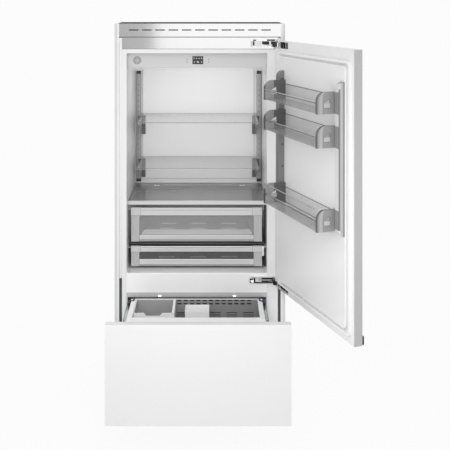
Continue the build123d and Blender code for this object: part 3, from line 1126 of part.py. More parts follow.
WELL_X = (BASKET_LEFT + RIM_WIDTH, BASKET_RIGHT - RIM_WIDTH)
WELL_FLOOR = BASKET_FLOOR + BASKET_WALL
with BuildPart() as freezer_basket:
    block((BASKET_LEFT, BASKET_RIGHT), pulled(BASKET_FRONT, BASKET_REAR), (BASKET_FLOOR, BASKET_RIM))
    block(WELL_X, pulled(BRIDGE_BACK, BASKET_REAR - BASKET_WALL), (WELL_FLOOR, BASKET_RIM + 1),
          Mode.SUBTRACT)
    block(WELL_X, pulled(BASKET_FRONT + BASKET_WALL, BRIDGE_FRONT), (WELL_FLOOR, BASKET_RIM + 1),
          Mode.SUBTRACT)
    under_rim = (BASKET_FLOOR - 1, BASKET_RIM - BASKET_WALL)
    for hollow in ((BASKET_LEFT + BASKET_WALL, WELL_X[0] - BASKET_WALL),
                   (WELL_X[1] + BASKET_WALL, BASKET_RIGHT - BASKET_WALL)):
        block(hollow, pulled(BASKET_FRONT + BASKET_WALL, BASKET_REAR - BASKET_WALL), under_rim,
              Mode.SUBTRACT)
    block(WELL_X, pulled(BRIDGE_FRONT + BASKET_WALL, BRIDGE_BACK - BASKET_WALL), under_rim,
          Mode.SUBTRACT)
    with BuildSketch(upright(BASKET_REAR - DRAWER_TRAVEL)) as vents:
        for drop in OVAL_DROPS:
            with Locations((OVAL_MIDDLE, BASKET_RIM - drop)):
                with GridLocations(OVAL_PITCH, 1, OVAL_COUNT, 1):
                    SlotOverall(OVAL_LENGTH, OVAL_HEIGHT)
        for drop in VENT_DROPS:
            with Locations((OVAL_MIDDLE + 6, BASKET_RIM - drop)):
                with GridLocations(VENT_PITCH, 1, VENT_COUNT, 1):
                    Rectangle(VENT_LENGTH, VENT_HEIGHT)
    extrude(vents.sketch, amount=BASKET_WALL, mode=Mode.SUBTRACT)
save(freezer_basket, "freezer_basket")

BIN_TOP = BASKET_RIM - 1.0
ICE_X = (WELL_X[0] + 1, ICE_RIGHT)
ICE_BACK = BASKET_REAR - BASKET_WALL - 1
ICE_Y = (ICE_BACK - ICE_LENGTH, ICE_BACK)
with BuildPart() as ice_bin:
    block(ICE_X, pulled(*ICE_Y), (WELL_FLOOR, BIN_TOP))
    block((ICE_X[0] + ICE_WALL, ICE_X[1] - ICE_WALL), pulled(ICE_Y[0] + ICE_WALL, ICE_Y[1] - ICE_WALL),
          (WELL_FLOOR + ICE_WALL, BIN_TOP + 1), Mode.SUBTRACT)
    block((ICE_X[1] - ICE_EDGE, ICE_X[1]), pulled(*ICE_Y), (BIN_TOP - ICE_WALL, BIN_TOP))
    with BuildSketch(upright(ICE_Y[0] - DRAWER_TRAVEL)) as notch:
        notch_middle = (ICE_X[0] + ICE_X[1]) / 2 - 4
        with BuildLine():
            Polyline((notch_middle - ICE_NOTCH[0] / 2, BIN_TOP + 1),
                     (notch_middle - ICE_NOTCH[1] / 2, BIN_TOP - ICE_NOTCH[2]),
                     (notch_middle + ICE_NOTCH[1] / 2, BIN_TOP - ICE_NOTCH[2]),
                     (notch_middle + ICE_NOTCH[0] / 2, BIN_TOP + 1), close=True)
        make_face()
    extrude(notch.sketch, amount=-ICE_WALL, mode=Mode.SUBTRACT)
save(ice_bin, "ice_bin")

with BuildPart() as scoop_box:
    scoop_back = BASKET_REAR - SCOOP_GAP
    scoop_y = pulled(scoop_back - SCOOP_LENGTH, scoop_back)
    block((SCOOP_LEFT, SCOOP_RIGHT), scoop_y, (WELL_FLOOR, BIN_TOP))
    block((SCOOP_LEFT + ICE_WALL, SCOOP_RIGHT - ICE_WALL),
          (scoop_y[0] + 2 * ICE_WALL, scoop_y[1] - ICE_WALL), (WELL_FLOOR + ICE_WALL, BIN_TOP + 1),
          Mode.SUBTRACT)
    block((SCOOP_LEFT + 8, SCOOP_RIGHT - 8), (scoop_y[0] - 1, scoop_y[0] + 2),
          (WELL_FLOOR + 8, BIN_TOP - 10), Mode.SUBTRACT)
save(scoop_box, "scoop_box")

SLIDE_PLATE = 1.5
SLIDE_LENGTH = (14.0, FREEZER_BACK - 4.0)
SLIDE_TOP = SLIDE_BOTTOM + SLIDE_HEIGHT
MIDDLE_SHIFT = DRAWER_TRAVEL / 2


def slide_channel(wall, lip, y, z):
    """Add a C-shaped slide member: its web stands at x = wall and its flanges reach x = lip."""
    inwards = 1 if lip > wall else -1
    block(sorted((wall, wall + inwards * SLIDE_PLATE)), y, z)
    for edge in (z[0], z[1] - SLIDE_PLATE):
        block(sorted((wall, lip)), y, (edge, edge + SLIDE_PLATE))


SIDES = ((CAVITY_LEFT, BASKET_LEFT, 1), (CAVITY_RIGHT, BASKET_RIGHT, -1))
with BuildPart() as cabinet_slide_rails:
    for wall, basket_side, inwards in SIDES:
        slide_channel(wall, wall + inwards * 13.0, SLIDE_LENGTH, (SLIDE_BOTTOM, SLIDE_TOP))
save(cabinet_slide_rails, "cabinet_slide_rails")

with BuildPart() as middle_slide_rails:
    middle_z = (SLIDE_BOTTOM + SLIDE_PLATE + 0.5, SLIDE_TOP - SLIDE_PLATE - 0.5)
    middle_y = (SLIDE_LENGTH[0] + 6 - MIDDLE_SHIFT, SLIDE_LENGTH[1] - 5 - MIDDLE_SHIFT)
    for wall, basket_side, inwards in SIDES:
        web = wall + inwards * 7.0
        block(sorted((web, web + inwards * 2)), middle_y, middle_z)
        for edge in (middle_z[0] + 4, middle_z[1] - 4 - SLIDE_PLATE):
            block(sorted((web, basket_side - inwards * 7)), middle_y, (edge, edge + SLIDE_PLATE))
save(middle_slide_rails, "middle_slide_rails")

with BuildPart() as drawer_slide_rails:
    drawer_z = (middle_z[0] + 6, middle_z[1] - 6)
    for wall, basket_side, inwards in SIDES:
        slide_channel(basket_side, basket_side - inwards * 16.0,
                      pulled(SLIDE_LENGTH[0] + 8, SLIDE_LENGTH[1] - 5), drawer_z)
        block(sorted((basket_side, basket_side - inwards * 3.0)),
              pulled(FRONT_DEPTH[1], SLIDE_LENGTH[0] + 60), (SLIDE_BOTTOM - 2, SLIDE_TOP + 4))
        block(sorted((basket_side - inwards * 22, basket_side)),
              pulled(FRONT_DEPTH[1], FRONT_DEPTH[1] + 3), (SLIDE_BOTTOM - 2, SLIDE_TOP + 4))
save(drawer_slide_rails, "drawer_slide_rails")

# ======================================================================================
# Crisper drawers
# ======================================================================================
TRAY_FRONT = CRISPER_FRONT + CRISPER_BAR
CAP_PROUD = 2.0
for crisper_name, heights in CRISPER_HEIGHTS.items():
    bottom, top = heights
    tray_top = top - FLANGE_DROP
    with BuildPart() as crisper_tray:
        block((CRISPER_LEFT, CRISPER_RIGHT), (TRAY_FRONT, CRISPER_BACK), (bottom + 2, tray_top))
        upright_edges = crisper_tray.edges().filter_by(Axis.Z).group_by(Axis.Y)[-1]
        fillet(upright_edges, CRISPER_CORNER)
        offset(amount=-CRISPER_WALL, openings=crisper_tray.faces().sort_by(Axis.Z)[-1:],
               mode=Mode.REPLACE)
        for side, edge in ((-1, CRISPER_LEFT), (1, CRISPER_RIGHT)):
            reach = edge + side * 12.0
            block(sorted((edge - side * CRISPER_WALL, reach)), (TRAY_FRONT, CRISPER_BACK - CRISPER_CORNER),
                  (tray_top - CRISPER_WALL, tray_top))
    save(crisper_tray, f"{crisper_name}_crisper_tray")

    upper_bar, lower_bar = CRISPER_BARS[crisper_name]
    with BuildPart() as crisper_frame:
        bar_y = (CRISPER_FRONT, TRAY_FRONT)
        with BuildSketch(Plane.YZ.offset(CRISPER_LEFT)):
            for bar_bottom, bar_top in ((top - upper_bar, top), (bottom, bottom + lower_bar)):
                with Locations(((bar_y[0] + bar_y[1]) / 2, (bar_bottom + bar_top) / 2)):
                    RectangleRounded(CRISPER_BAR, bar_top - bar_bottom, 3)
        extrude(amount=CRISPER_RIGHT - CRISPER_LEFT)
        for side, edge in ((1, CRISPER_LEFT), (-1, CRISPER_RIGHT)):
            block(sorted((edge, edge + side * CRISPER_POST)), (CRISPER_FRONT + 1, TRAY_FRONT),
                  (bottom + lower_bar - 4, top - upper_bar + 4))
            block(sorted((edge - side * 1, edge + side * CRISPER_CAP)),
                  (CRISPER_FRONT - CAP_PROUD, TRAY_FRONT), (top - upper_bar - 1, top + 1))
            block(sorted((edge, edge + side * CRISPER_POST)),
                  (CRISPER_FRONT - CAP_PROUD / 2, TRAY_FRONT), (bottom, bottom + lower_bar))
    save(crisper_frame, f"{crisper_name}_crisper_frame")
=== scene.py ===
"""Dress the open built-in refrigerator: its finishes, small fittings, studio and camera."""
from __future__ import annotations

import json
import logging
import math
from dataclasses import dataclass, replace
from enum import Enum
from functools import cache
from typing import Callable

import bmesh
import bpy
from mathutils import Matrix, Vector

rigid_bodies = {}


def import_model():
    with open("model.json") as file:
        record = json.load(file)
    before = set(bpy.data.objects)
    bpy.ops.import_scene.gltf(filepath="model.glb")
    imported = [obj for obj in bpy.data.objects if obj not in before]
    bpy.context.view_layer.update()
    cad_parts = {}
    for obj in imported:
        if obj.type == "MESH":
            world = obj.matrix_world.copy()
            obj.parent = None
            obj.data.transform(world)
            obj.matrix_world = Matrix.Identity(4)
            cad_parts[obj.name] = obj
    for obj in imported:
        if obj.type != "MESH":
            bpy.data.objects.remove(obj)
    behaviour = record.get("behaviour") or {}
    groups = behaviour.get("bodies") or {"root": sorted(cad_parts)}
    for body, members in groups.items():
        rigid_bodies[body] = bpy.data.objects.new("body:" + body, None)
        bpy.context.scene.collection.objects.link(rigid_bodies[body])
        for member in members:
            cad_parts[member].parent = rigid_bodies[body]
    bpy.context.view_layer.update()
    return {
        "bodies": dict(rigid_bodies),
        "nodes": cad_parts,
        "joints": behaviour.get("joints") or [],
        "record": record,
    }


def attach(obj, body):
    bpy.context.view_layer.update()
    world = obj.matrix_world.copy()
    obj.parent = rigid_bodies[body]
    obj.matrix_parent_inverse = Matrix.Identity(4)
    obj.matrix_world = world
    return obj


LOG = logging.getLogger("refrigerator")
TO_FRONT = Matrix.Rotation(math.radians(90), 4, "X")
Colour = tuple[float, float, float]
Span = tuple[float, float]
Box = tuple[Span, Span, Span]
FAR = 9.0                   # a limit beyond every face of the cabinet
DOOR_ANGLE = 109.2          # degrees by which the door stands open
HINGE_AXIS = (0.436, -0.052)
DOOR_HALF = 0.43575         # half the width of the door slab
DOOR_GAP = 0.012            # from the cabinet's front plane to the slab's inner face
NARROW = 0.8                # share of an axis in a normal from which a face counts as an edge
SHARP = 35                  # degrees from which an edge between two faces stays sharp
CLOUD_SCALE = 7.0           # patches per metre in which a surface's colour varies
BRUSHED = 0.06              # what the grain adds to a metal's roughness
GLANCE = 0.25               # how soon a clear face turns solid at a glancing angle
CLEAR_CLOUD_SCALE = 9.0     # patches per metre in which a clear surface varies
HAZE = 0.03                 # how far those patches make it solid
CLEAR_WEAR = 0.05           # how far they make it rough
SOLID_ZONE = 0.9            # how solid a zone on a clear surface looks
THINNED = 0.6               # the share that a thin wall loses
RIPPLE_SCALE = 160.0        # ripples per metre of a clear surface
RIPPLE_DEPTH = 0.00003      # their height in metres


class Grain(Enum):
    """The direction in which a metal is brushed or drawn."""

    ALONG_X = (1.0, 60.0, 60.0)
    ALONG_Y = (60.0, 1.0, 60.0)
    NONE = (1.0, 1.0, 1.0)


def operator(operation: str, turned: bool = False) -> Callable[[Signal, Signal | float], Signal]:
    """Return a method that joins a signal and another term in one Math node.

    Args:
        operation: The node's operation.
        turned: Whether the other term comes first.
    """
    def join(self: Signal, other: Signal | float) -> Signal:
        """Join both terms."""
        terms = [other, self] if turned else [self, other]
        return self.graph.node("ShaderNodeMath", {"operation": operation}, terms)
    return join


class Signal:
    """A shader socket that takes part in Python arithmetic."""

    __add__ = operator("ADD")
    __sub__ = operator("SUBTRACT")
    __rsub__ = operator("SUBTRACT", turned=True)
    __mul__ = operator("MULTIPLY")
    __truediv__ = operator("DIVIDE")
    __gt__ = operator("GREATER_THAN")       # 1 where this signal is above the other
    __lt__ = operator("LESS_THAN")
    largest = operator("MAXIMUM")

    def __init__(self, graph: Graph, socket: bpy.types.NodeSocket) -> None:
        """Wrap a node's output socket.

        Args:
            graph: The graph that the socket's node stands in.
            socket: The output socket.
        """
        self.graph = graph
        self.socket = socket

    def __abs__(self) -> Signal:
        """Return the signal without its sign."""
        return self.graph.node("ShaderNodeMath", {"operation": "ABSOLUTE"}, [self])

    def within(self, low: float, high: float) -> Signal:
        """Return 1 where this signal lies between two limits.

        Args:
            low: The lower limit.
            high: The upper limit.
        """
        return (self > low) * (self < high)

    def root(self) -> Signal:
        """Return the square root."""
        return self.graph.node("ShaderNodeMath", {"operation": "SQRT"}, [self])


class Graph:
    """The nodes of a material or of the world, added one by one."""

    def __init__(self, name: str, world: bpy.types.World | None = None) -> None:
        """Start a material, or empty a world's tree, with nothing but its output.

        Args:
            name: The material's name.
            world: The world whose tree is filled in place of a new material's.
        """
        self.name = name
        self.owner = world or bpy.data.materials.new(name)
        self.owner.use_nodes = True
        self.tree = self.owner.node_tree
        self.tree.nodes.clear()
        self.output = self.tree.nodes.new(
            "ShaderNodeOutputWorld" if world else "ShaderNodeOutputMaterial")

    def node(self, kind: str, settings: dict | None = None,
             inputs: list | dict | None = None, output: int | str = 0) -> Signal:
        """Add a node, set it up and feed it.

        Args:
            kind: The node's type.
            settings: Attributes of the node, set before its inputs. A ramp's stops go
                under the key "stops", as pairs of a place and a grey level.
            inputs: Values or signals, by order or by socket name.
            output: The socket that the result wraps.
        """
        made = self.tree.nodes.new(kind)
        for key, value in (settings or {}).items():
            if key == "stops":
                ramp = made.color_ramp.elements
                while len(ramp) < len(value):
                    ramp.new(0.5)
                for stop, (place, grey) in zip(ramp, value):
                    stop.position = place
                    stop.color = (grey, grey, grey, 1.0)
            else:
                setattr(made, key, value)
        pairs = inputs.items() if isinstance(inputs, dict) else enumerate(inputs or [])
        for key, value in pairs:
            self.feed(made.inputs[key], value)
        return Signal(self, made.outputs[output])

    def feed(self, socket: bpy.types.NodeSocket, value: object) -> None:
        """Link a signal to a socket, or set the socket's own value.

        Args:
            socket: The input socket.
            value: A signal, a number, a colour or a vector.
        """
        if isinstance(value, Signal):
            self.tree.links.new(value.socket, socket)
        elif socket.type == "RGBA" and len(value) == 3:
            socket.default_value = (*value, 1.0)
        else:
            socket.default_value = value

    def place(self, on_door: bool = False) -> Signal:
        """Return Object coordinates, turned and moved to lie with the open door if asked.

        Args:
            on_door: Whether the door's hinge edge becomes zero.
        """
        where = self.node("ShaderNodeTexCoord", output="Object")
        if not on_door:
            return where
        return self.node("ShaderNodeMapping", {"vector_type": "TEXTURE"}, {
            "Vector": where, "Location": (*door_point(0.0, 0.0), 0.0),
            "Rotation": (0.0, 0.0, math.radians(DOOR_ANGLE))})

    def axes(self, where: Signal) -> tuple[Signal, Signal, Signal]:
        """Split a vector into its three signals."""
        split = self.node("ShaderNodeSeparateXYZ", inputs=[where])
        outputs = split.socket.node.outputs
        return tuple(Signal(self, outputs[number]) for number in range(3))

    def noise(self, where: Signal, scale: float, detail: float = 2.0,
              stretch: Colour = (1.0, 1.0, 1.0)) -> Signal:
        """Return a noise pattern between 0 and 1.

        Args:
            where: The coordinates it is read at.
            scale: Bumps per metre.
            detail: Octaves of finer noise.
            stretch: The factor on each axis, large where the pattern is fine.
        """
        spread = self.node("ShaderNodeMapping", inputs={"Vector": where, "Scale": stretch})
        return self.node("ShaderNodeTexNoise", inputs={
            "Vector": spread, "Scale": scale, "Detail": detail})

    def blend(self, share: Signal, first: object, second: object) -> Signal:
        """Mix two colours by a share of the second.

        Args:
            share: How much of the second colour shows.
            first: A colour or signal.
            second: A colour or signal.
        """
        made = self.tree.nodes.new("ShaderNodeMix")
        made.data_type = "RGBA"
        for socket, value in ((made.inputs[0], share), (made.inputs[6], first),
                              (made.inputs[7], second)):
            self.feed(socket, value)
        return Signal(self, made.outputs[2])

    def relief(self, height: Signal, depth: float) -> Signal:
        """Return a bumped normal.

        Args:
            height: The height pattern, from 0 to 1.
            depth: The real height of its bumps in metres.
        """
        return self.node("ShaderNodeBump", inputs={"Height": height, "Distance": depth})

    def close(self, shader: Signal) -> bpy.types.Material | bpy.types.World:
        """Join a shader to the output and return what the tree belongs to."""
        self.tree.links.new(shader.socket, self.output.inputs["Surface"])
        return self.owner

    def surface(self, **inputs: object) -> bpy.types.Material:
        """Close the material with one shader.

        Args:
            **inputs: Values or signals for the shader, with _ for a space in a name.
        """
        named = {key.replace("_", " "): value for key, value in inputs.items()}
        return self.close(self.node("ShaderNodeBsdfPrincipled", inputs=named))


@dataclass(frozen=True)
class Zone:
    """A box on a piece that is coloured otherwise, such as an end cap, a row of slots or an area
    of painted shade or light.
    """

    shade: float                # the grey level that a screen shows
    x: Span = (-FAR, FAR)
    y: Span = (-FAR, FAR)
    z: Span = (-FAR, FAR)
    middle: float | None = None     # the X from which the X limits count to both sides
    roughness: float | None = None
    metallic: float | None = None

    def mask(self, graph: Graph, axes: tuple[Signal, Signal, Signal]) -> Signal:
        """Return 1 inside the zone.

        Args:
            graph: The material's graph.
            axes: The piece's X, Y and Z.
        """
        across = axes[0] if self.middle is None else abs(axes[0] - self.middle)
        parts = [axis.within(*limits)
                 for axis, limits in ((across, self.x), (axes[1], self.y), (axes[2], self.z))
                 if limits != (-FAR, FAR)]
        share = parts[0]
        for part in parts[1:]:
            share = share * part
        return share


@dataclass(frozen=True)
class Finish:
    """A surface with slight colour variation, a fine relief and zones of other colours."""

    name: str
    colour: Colour
    roughness: float = 0.4
    metallic: float = 0.0
    spread: float = 0.01        # how far the colour varies
    grain: Grain = Grain.NONE
    grain_scale: float = 900.0  # bumps per metre
    grain_depth: float = 0.00002
    wear: float = 0.08          # how far the roughness varies
    coat: float = 0.0
    zones: tuple[Zone, ...] = ()
    on_door: bool = False       # whether it lies with the open door
    glow: float = 0.0

    @cache
    def material(self) -> bpy.types.Material:
        """Build the finish, once for each equal finish."""
        graph = Graph(self.name)
        where = graph.place(self.on_door)
        axes = graph.axes(where)
        cloud = graph.noise(where, CLOUD_SCALE, 3.0)
        fine = graph.noise(where, self.grain_scale, 3.0, self.grain.value)
        dark = tuple(channel * (1 - self.spread) for channel in self.colour)
        light = tuple(min(1.0, channel * (1 + self.spread)) for channel in self.colour)
        base = graph.blend(cloud, dark, light)
        rough = cloud * self.wear + (self.roughness - self.wear / 2)
        metal: Signal | float = self.metallic
        if self.grain is not Grain.NONE:
            rough = rough + fine * BRUSHED
        for zone in self.zones:
            mask = zone.mask(graph, axes)
            base = graph.blend(mask, base, tone(zone.shade))
            if zone.roughness is not None:
                rough = rough + mask * (zone.roughness - rough)
            if zone.metallic is not None:
                metal = mask * (zone.metallic - self.metallic) + metal
        inputs = {"Base_Color": base, "Roughness": rough, "Metallic": metal,
                  "Normal": graph.relief(fine, self.grain_depth)}
        if self.coat:
            inputs["Coat_Weight"] = self.coat
        if self.glow:
            inputs["Emission_Color"] = self.colour
            inputs["Emission_Strength"] = self.glow
        return graph.surface(**inputs)


@dataclass(frozen=True)
class ClearFinish:
    """Glass or clear plastic: seen through on its faces and darker at its edges."""

    name: str
    colour: Colour
    edge_colour: Colour
    face: float                 # how solid a face looks straight on
    rim: float                  # how solid it looks at a glancing angle
    edge: float = 0.85          # how solid a narrow edge looks
    edge_axis: int = 1          # the axis that the narrow edges face
    roughness: float = 0.06
    zones: tuple[Zone, ...] = ()
    on_door: bool = False       # whether it lies with the open door
    thin: Zone | None = None    # where the wall is clearer than elsewhere
    band: tuple[Span, ...] = ()     # grey levels of a painted highlight and painted shade across a bin cap's rounded corner

    def corner(self, graph: Graph, axes: tuple[Signal, Signal, Signal]) -> Signal:
        """Paint a highlight and shade across the rounded front corner of a bin's end cap.

        Args:
            graph: The material's graph.
            axes: The cap's X, Y and Z in the door's frame.

        Returns:
            The colour, which changes from the corner's centre line to its edge: a painted
            highlight in the middle of the arc and painted shade towards its edge.
        """
        out = (axes[1] - (BIN_REACH - BIN_ARCH)).largest(0.0)
        rise: Signal | float = 0.0
        for foot in BIN_FEET:
            centre = foot + BIN_HEIGHT - BIN_ARCH
            inside = axes[2].within(centre, foot + BIN_HEIGHT + 0.0005)
            rise = inside * (axes[2] - centre) + rise
        chord = (BIN_ARCH ** 2 - rise * rise).largest(1e-6).root()
        return graph.node("ShaderNodeValToRGB", {"stops": self.band}, [out / chord])

    @cache
    def material(self) -> bpy.types.Material:
        """Build the finish, once for each equal finish."""
        graph = Graph(self.name)
        where = graph.place(self.on_door)
        axes = graph.axes(where)
        normal = graph.axes(graph.node("ShaderNodeNewGeometry", output="Normal"))
        narrow = abs(normal[self.edge_axis]) > NARROW
        glance = graph.node("ShaderNodeLayerWeight", inputs={"Blend": GLANCE}, output="Facing")
        cloud = graph.noise(where, CLEAR_CLOUD_SCALE)
        face = self.corner(graph, axes) if self.band else self.colour
        base = graph.blend(narrow, face, self.edge_colour)
        alpha = glance * (self.rim - self.face) + self.face + cloud * HAZE
        alpha = alpha + narrow * (self.edge - self.face)
        for zone in self.zones:
            mask = zone.mask(graph, axes)
            base = graph.blend(mask, base, tone(zone.shade))
            alpha = alpha.largest(mask * SOLID_ZONE)
        if self.thin:
            alpha = alpha * (1.0 - self.thin.mask(graph, axes) * THINNED)
        rough = cloud * CLEAR_WEAR + self.roughness
        fine = graph.noise(where, RIPPLE_SCALE)
        return graph.surface(Base_Color=base, Roughness=rough, Alpha=alpha,
                             Normal=graph.relief(fine, RIPPLE_DEPTH))


def tone(red: float, green: float | None = None, blue: float | None = None) -> Colour:
    """Turn a colour as a screen shows it into the shader's linear one.

    Args:
        red: The red level, or the grey level where it stands alone.
        green: The green level.
        blue: The blue level.
    """
    levels = (red, red if green is None else green, red if blue is None else blue)
    return tuple(level / 12.92 if level <= 0.04045 else ((level + 0.055) / 1.055) ** 2.4
                 for level in levels)


def door_point(along: float, into: float) -> Span:
    """Return where a point of the door stands while the door is open.

    Args:
        along: Metres along the door from its hinge edge.
        into: Metres from the slab's inner face towards the room inside the fridge.
    """
    angle = math.radians(DOOR_ANGLE)
    x = DOOR_HALF - along - HINGE_AXIS[0]
    y = into - DOOR_GAP - HINGE_AXIS[1]
    return (HINGE_AXIS[0] + x * math.cos(angle) - y * math.sin(angle),
            HINGE_AXIS[1] + x * math.sin(angle) + y * math.cos(angle))


def door_frame() -> Matrix:
    """Return the matrix that carries the shut door's corner frame to the open door."""
    return Matrix.Translation((*door_point(0.0, 0.0), 0.0)) @ Matrix.Rotation(
        math.radians(DOOR_ANGLE), 4, "Z")


def put(name: str, data: bpy.types.ID) -> bpy.types.Object:
    """Put an object that shows a mesh, a lamp or a camera into the scene.

    Args:
        name: The object's name.
        data: What it shows.
    """
    thing = bpy.data.objects.new(name, data)
    bpy.context.scene.collection.objects.link(thing)
    return thing


def stand(name: str, form: bmesh.types.BMesh, material: bpy.types.Material) -> bpy.types.Object:
    """Close a mesh under construction and put it into the scene.

    Args:
        name: The object's name.
        form: The mesh under construction, which is freed.
        material: Its material.
    """
    data = bpy.data.meshes.new(name)
    form.to_mesh(data)
    form.free()
    data.materials.append(material)
    return put(name, data)


@dataclass(frozen=True)
class Disc:
    """A disc, pin or cone along its own Z, which faces the front or lies flat."""

    centre: Colour
    radius: float
    depth: float
    top: float | None = None    # its radius at the far end, where that differs
    upright: bool = False       # whether its own Z stays upright
    sides: int = 20
    squash: float = 1.0         # the factor on its own Y, which makes it oval


class Piece:
    """A mesh under construction, in metres, in the part's own frame."""

    def __init__(self, name: str, frame: Matrix | None = None) -> None:
        """Start an empty mesh.

        Args:
            name: The piece's name.
            frame: The matrix that places what is added, such as the open door's.
        """
        self.name = name
        self.mesh = bmesh.new()
        self.frame = frame or Matrix.Identity(4)

    def block(self, x: Span, y: Span, z: Span, bevel: float = 0.0) -> None:
        """Add a box, with rounded edges where a bevel is given.

        Args:
            x: Its limits along X.
            y: Its limits along Y.
            z: Its limits along Z.
            bevel: The radius of its edges.
        """
        size = Vector((x[1] - x[0], y[1] - y[0], z[1] - z[0]))
        middle = Vector(((x[0] + x[1]) / 2, (y[0] + y[1]) / 2, (z[0] + z[1]) / 2))
        matrix = self.frame @ Matrix.Translation(middle) @ Matrix.Diagonal((*size, 1.0))
        made = bmesh.ops.create_cube(self.mesh, size=1.0, matrix=matrix)
        if bevel:
            edges = list(dict.fromkeys(edge for vert in made["verts"] for edge in vert.link_edges))
            bmesh.ops.bevel(self.mesh, geom=edges, offset=bevel, segments=2,
                            profile=0.5, affect="EDGES", material=-1)

    def round(self, disc: Disc) -> None:
        """Add a disc."""
        matrix = self.frame @ Matrix.Translation(disc.centre)
        if not disc.upright:
            matrix = matrix @ TO_FRONT
        bmesh.ops.create_cone(
            self.mesh, cap_ends=True, segments=disc.sides, radius1=disc.radius,
            radius2=disc.radius if disc.top is None else disc.top, depth=disc.depth,
            matrix=matrix @ Matrix.Diagonal((1.0, disc.squash, 1.0, 1.0)))

    def build(self, finish: Finish | ClearFinish, body: str, slot: str) -> None:
        """Close the mesh, dress it and let it ride on a body.

        Args:
            finish: The finish it gets.
            body: The body that carries it.
            slot: The name of the record's material slot; not used.
        """
        bmesh.ops.recalc_face_normals(self.mesh, faces=self.mesh.faces)
        thing = stand(self.name, self.mesh, finish.material())
        thing.data.shade_smooth()
        thing.data.set_sharp_from_angle(angle=math.radians(SHARP))
        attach(thing, body)
        LOG.info("%s rides on %s: %d faces", self.name, body, len(thing.data.polygons))


# ---- Finishes --------------------------------------------------------------------------
WHITE_PAINT = Finish(
    "white_paint", tone(0.915), 0.36, spread=0.008, grain_scale=420.0,
    grain_depth=0.000012, coat=0.2)
CASE_PAINT = Finish(
    "case_paint", tone(0.62, 0.63, 0.64), 0.45, metallic=0.3, spread=0.03, grain_scale=500.0)
DARK_PAINT = Finish("dark_paint", tone(0.22), 0.5, spread=0.05, grain_scale=600.0)
TOP_PAINT = Finish("top_paint", tone(0.06), 0.8, spread=0.1, grain_scale=500.0)
MIRROR_STEEL = Finish(
    "mirror_steel", tone(0.98), 0.07, metallic=1.0,
    grain=Grain.ALONG_X, grain_scale=60.0, grain_depth=0.000001, wear=0.02)
# The header panel's lower edge, where it meets the front frame, is painted dull grey: a painted
# shadow line.
HEADER_STEEL = replace(MIRROR_STEEL, name="header_steel_shadow_line", zones=(
    Zone(0.55, z=(-FAR, 1.8958), roughness=0.5, metallic=0.0),))
ZINC = Finish(
    "zinc_steel", tone(0.78, 0.79, 0.80), 0.24, metallic=1.0, spread=0.06,
    grain=Grain.ALONG_Y, grain_scale=30.0, grain_depth=0.000008)
HINGE_STEEL = Finish(
    "hinge_steel", tone(0.90), 0.13, metallic=1.0, spread=0.10,
    grain=Grain.ALONG_X, grain_scale=25.0, grain_depth=0.00001,
    zones=(Zone(0.07, x=(0.2890, FAR), z=(0.6480, 0.6512), roughness=0.4,
                metallic=0.0),))
HINGE_BLACK = Finish("hinge_black", tone(0.06), 0.35, spread=0.1, grain_scale=700.0)
COPPER = Finish("drawn_copper", tone(0.80, 0.52, 0.38), 0.3, metallic=1.0, spread=0.08)
LINER = Finish(
    "liner_plastic", tone(0.94), 0.30, spread=0.008, grain_scale=260.0,
    grain_depth=0.00002, coat=0.15)
# The frame across the mullion (z 0.58 to 0.71) is painted pure white, brighter than elsewhere:
# painted light against the shade from the drawer and door.
FRAME_PLASTIC = Finish(
    "frame_plastic", tone(0.945), 0.34, spread=0.008, grain_scale=300.0,
    grain_depth=0.000015, coat=0.1, zones=(Zone(1.0, x=(-0.392, 0.359), z=(0.58, 0.71)),))
FASCIA_PLASTIC = Finish("fascia_plastic", tone(0.84), 0.38, grain_scale=900.0)
RAIL_MIDDLE = -0.0135       # X halfway between the two shelf rails
RAIL_PLASTIC = Finish("rail_plastic", tone(0.66), 0.4, spread=0.03, grain_scale=800.0, zones=(
    Zone(0.40, x=(0.3698, FAR), middle=RAIL_MIDDLE),
    Zone(0.46, x=(-FAR, 0.3468), middle=RAIL_MIDDLE),
    Zone(0.80, x=(0.3505, 0.3530), middle=RAIL_MIDDLE),
    Zone(0.22, z=(1.714, 1.733)),
    Zone(0.22, z=(1.072, 1.091))))
FOAM = Finish(
    "rigid_foam", tone(0.93, 0.88, 0.72), 0.9, spread=0.06, grain_scale=350.0, grain_depth=0.0006)
BLACK_PLASTIC = Finish("black_plastic", tone(0.10), 0.45, spread=0.08, grain_scale=900.0)
BLACK_RUBBER = Finish("black_rubber", tone(0.14), 0.7, spread=0.08, grain_scale=700.0)
SEAL = Finish("seal_rubber", tone(0.96), 0.5, grain_scale=500.0)
SCREEN = Finish(
    "dark_screen", tone(0.25), 0.12, spread=0.02, grain_scale=500.0,
    grain_depth=0.000002, coat=0.4)
LIGHTS = Finish("display_lights", tone(0.92), 0.4, glow=0.25)
LAMP = Finish("lamp_diffuser", tone(0.98), 0.4, glow=1.2)
MARKS = Finish("printed_marks", tone(0.96), 0.5)
BAR_ALUMINIUM = Finish(
    "bar_aluminium", tone(0.84), 0.30, metallic=0.7, spread=0.02,
    grain=Grain.ALONG_X, grain_scale=40.0, grain_depth=0.000004,
    zones=(Zone(0.55, z=(-FAR, 1.0462), metallic=0.0),))
TRIMS = Finish(
    "side_trim", tone(0.95), 0.36, grain_scale=300.0,
    zones=(Zone(0.87, x=(0.4432, FAR), middle=0.0, roughness=0.32),))
# In the side grooves the case's front is near white, and below z 0.66, beside the freezer, dark
# grey: painted shade.
GROOVE = Finish(
    "case_and_groove", tone(0.60, 0.61, 0.62), 0.45, metallic=0.3, spread=0.03, grain_scale=500.0,
    zones=(Zone(0.97, y=(-FAR, 0.0315), roughness=0.6, metallic=0.0),
           Zone(0.40, y=(-FAR, 0.0315), z=(-FAR, 0.66)),))
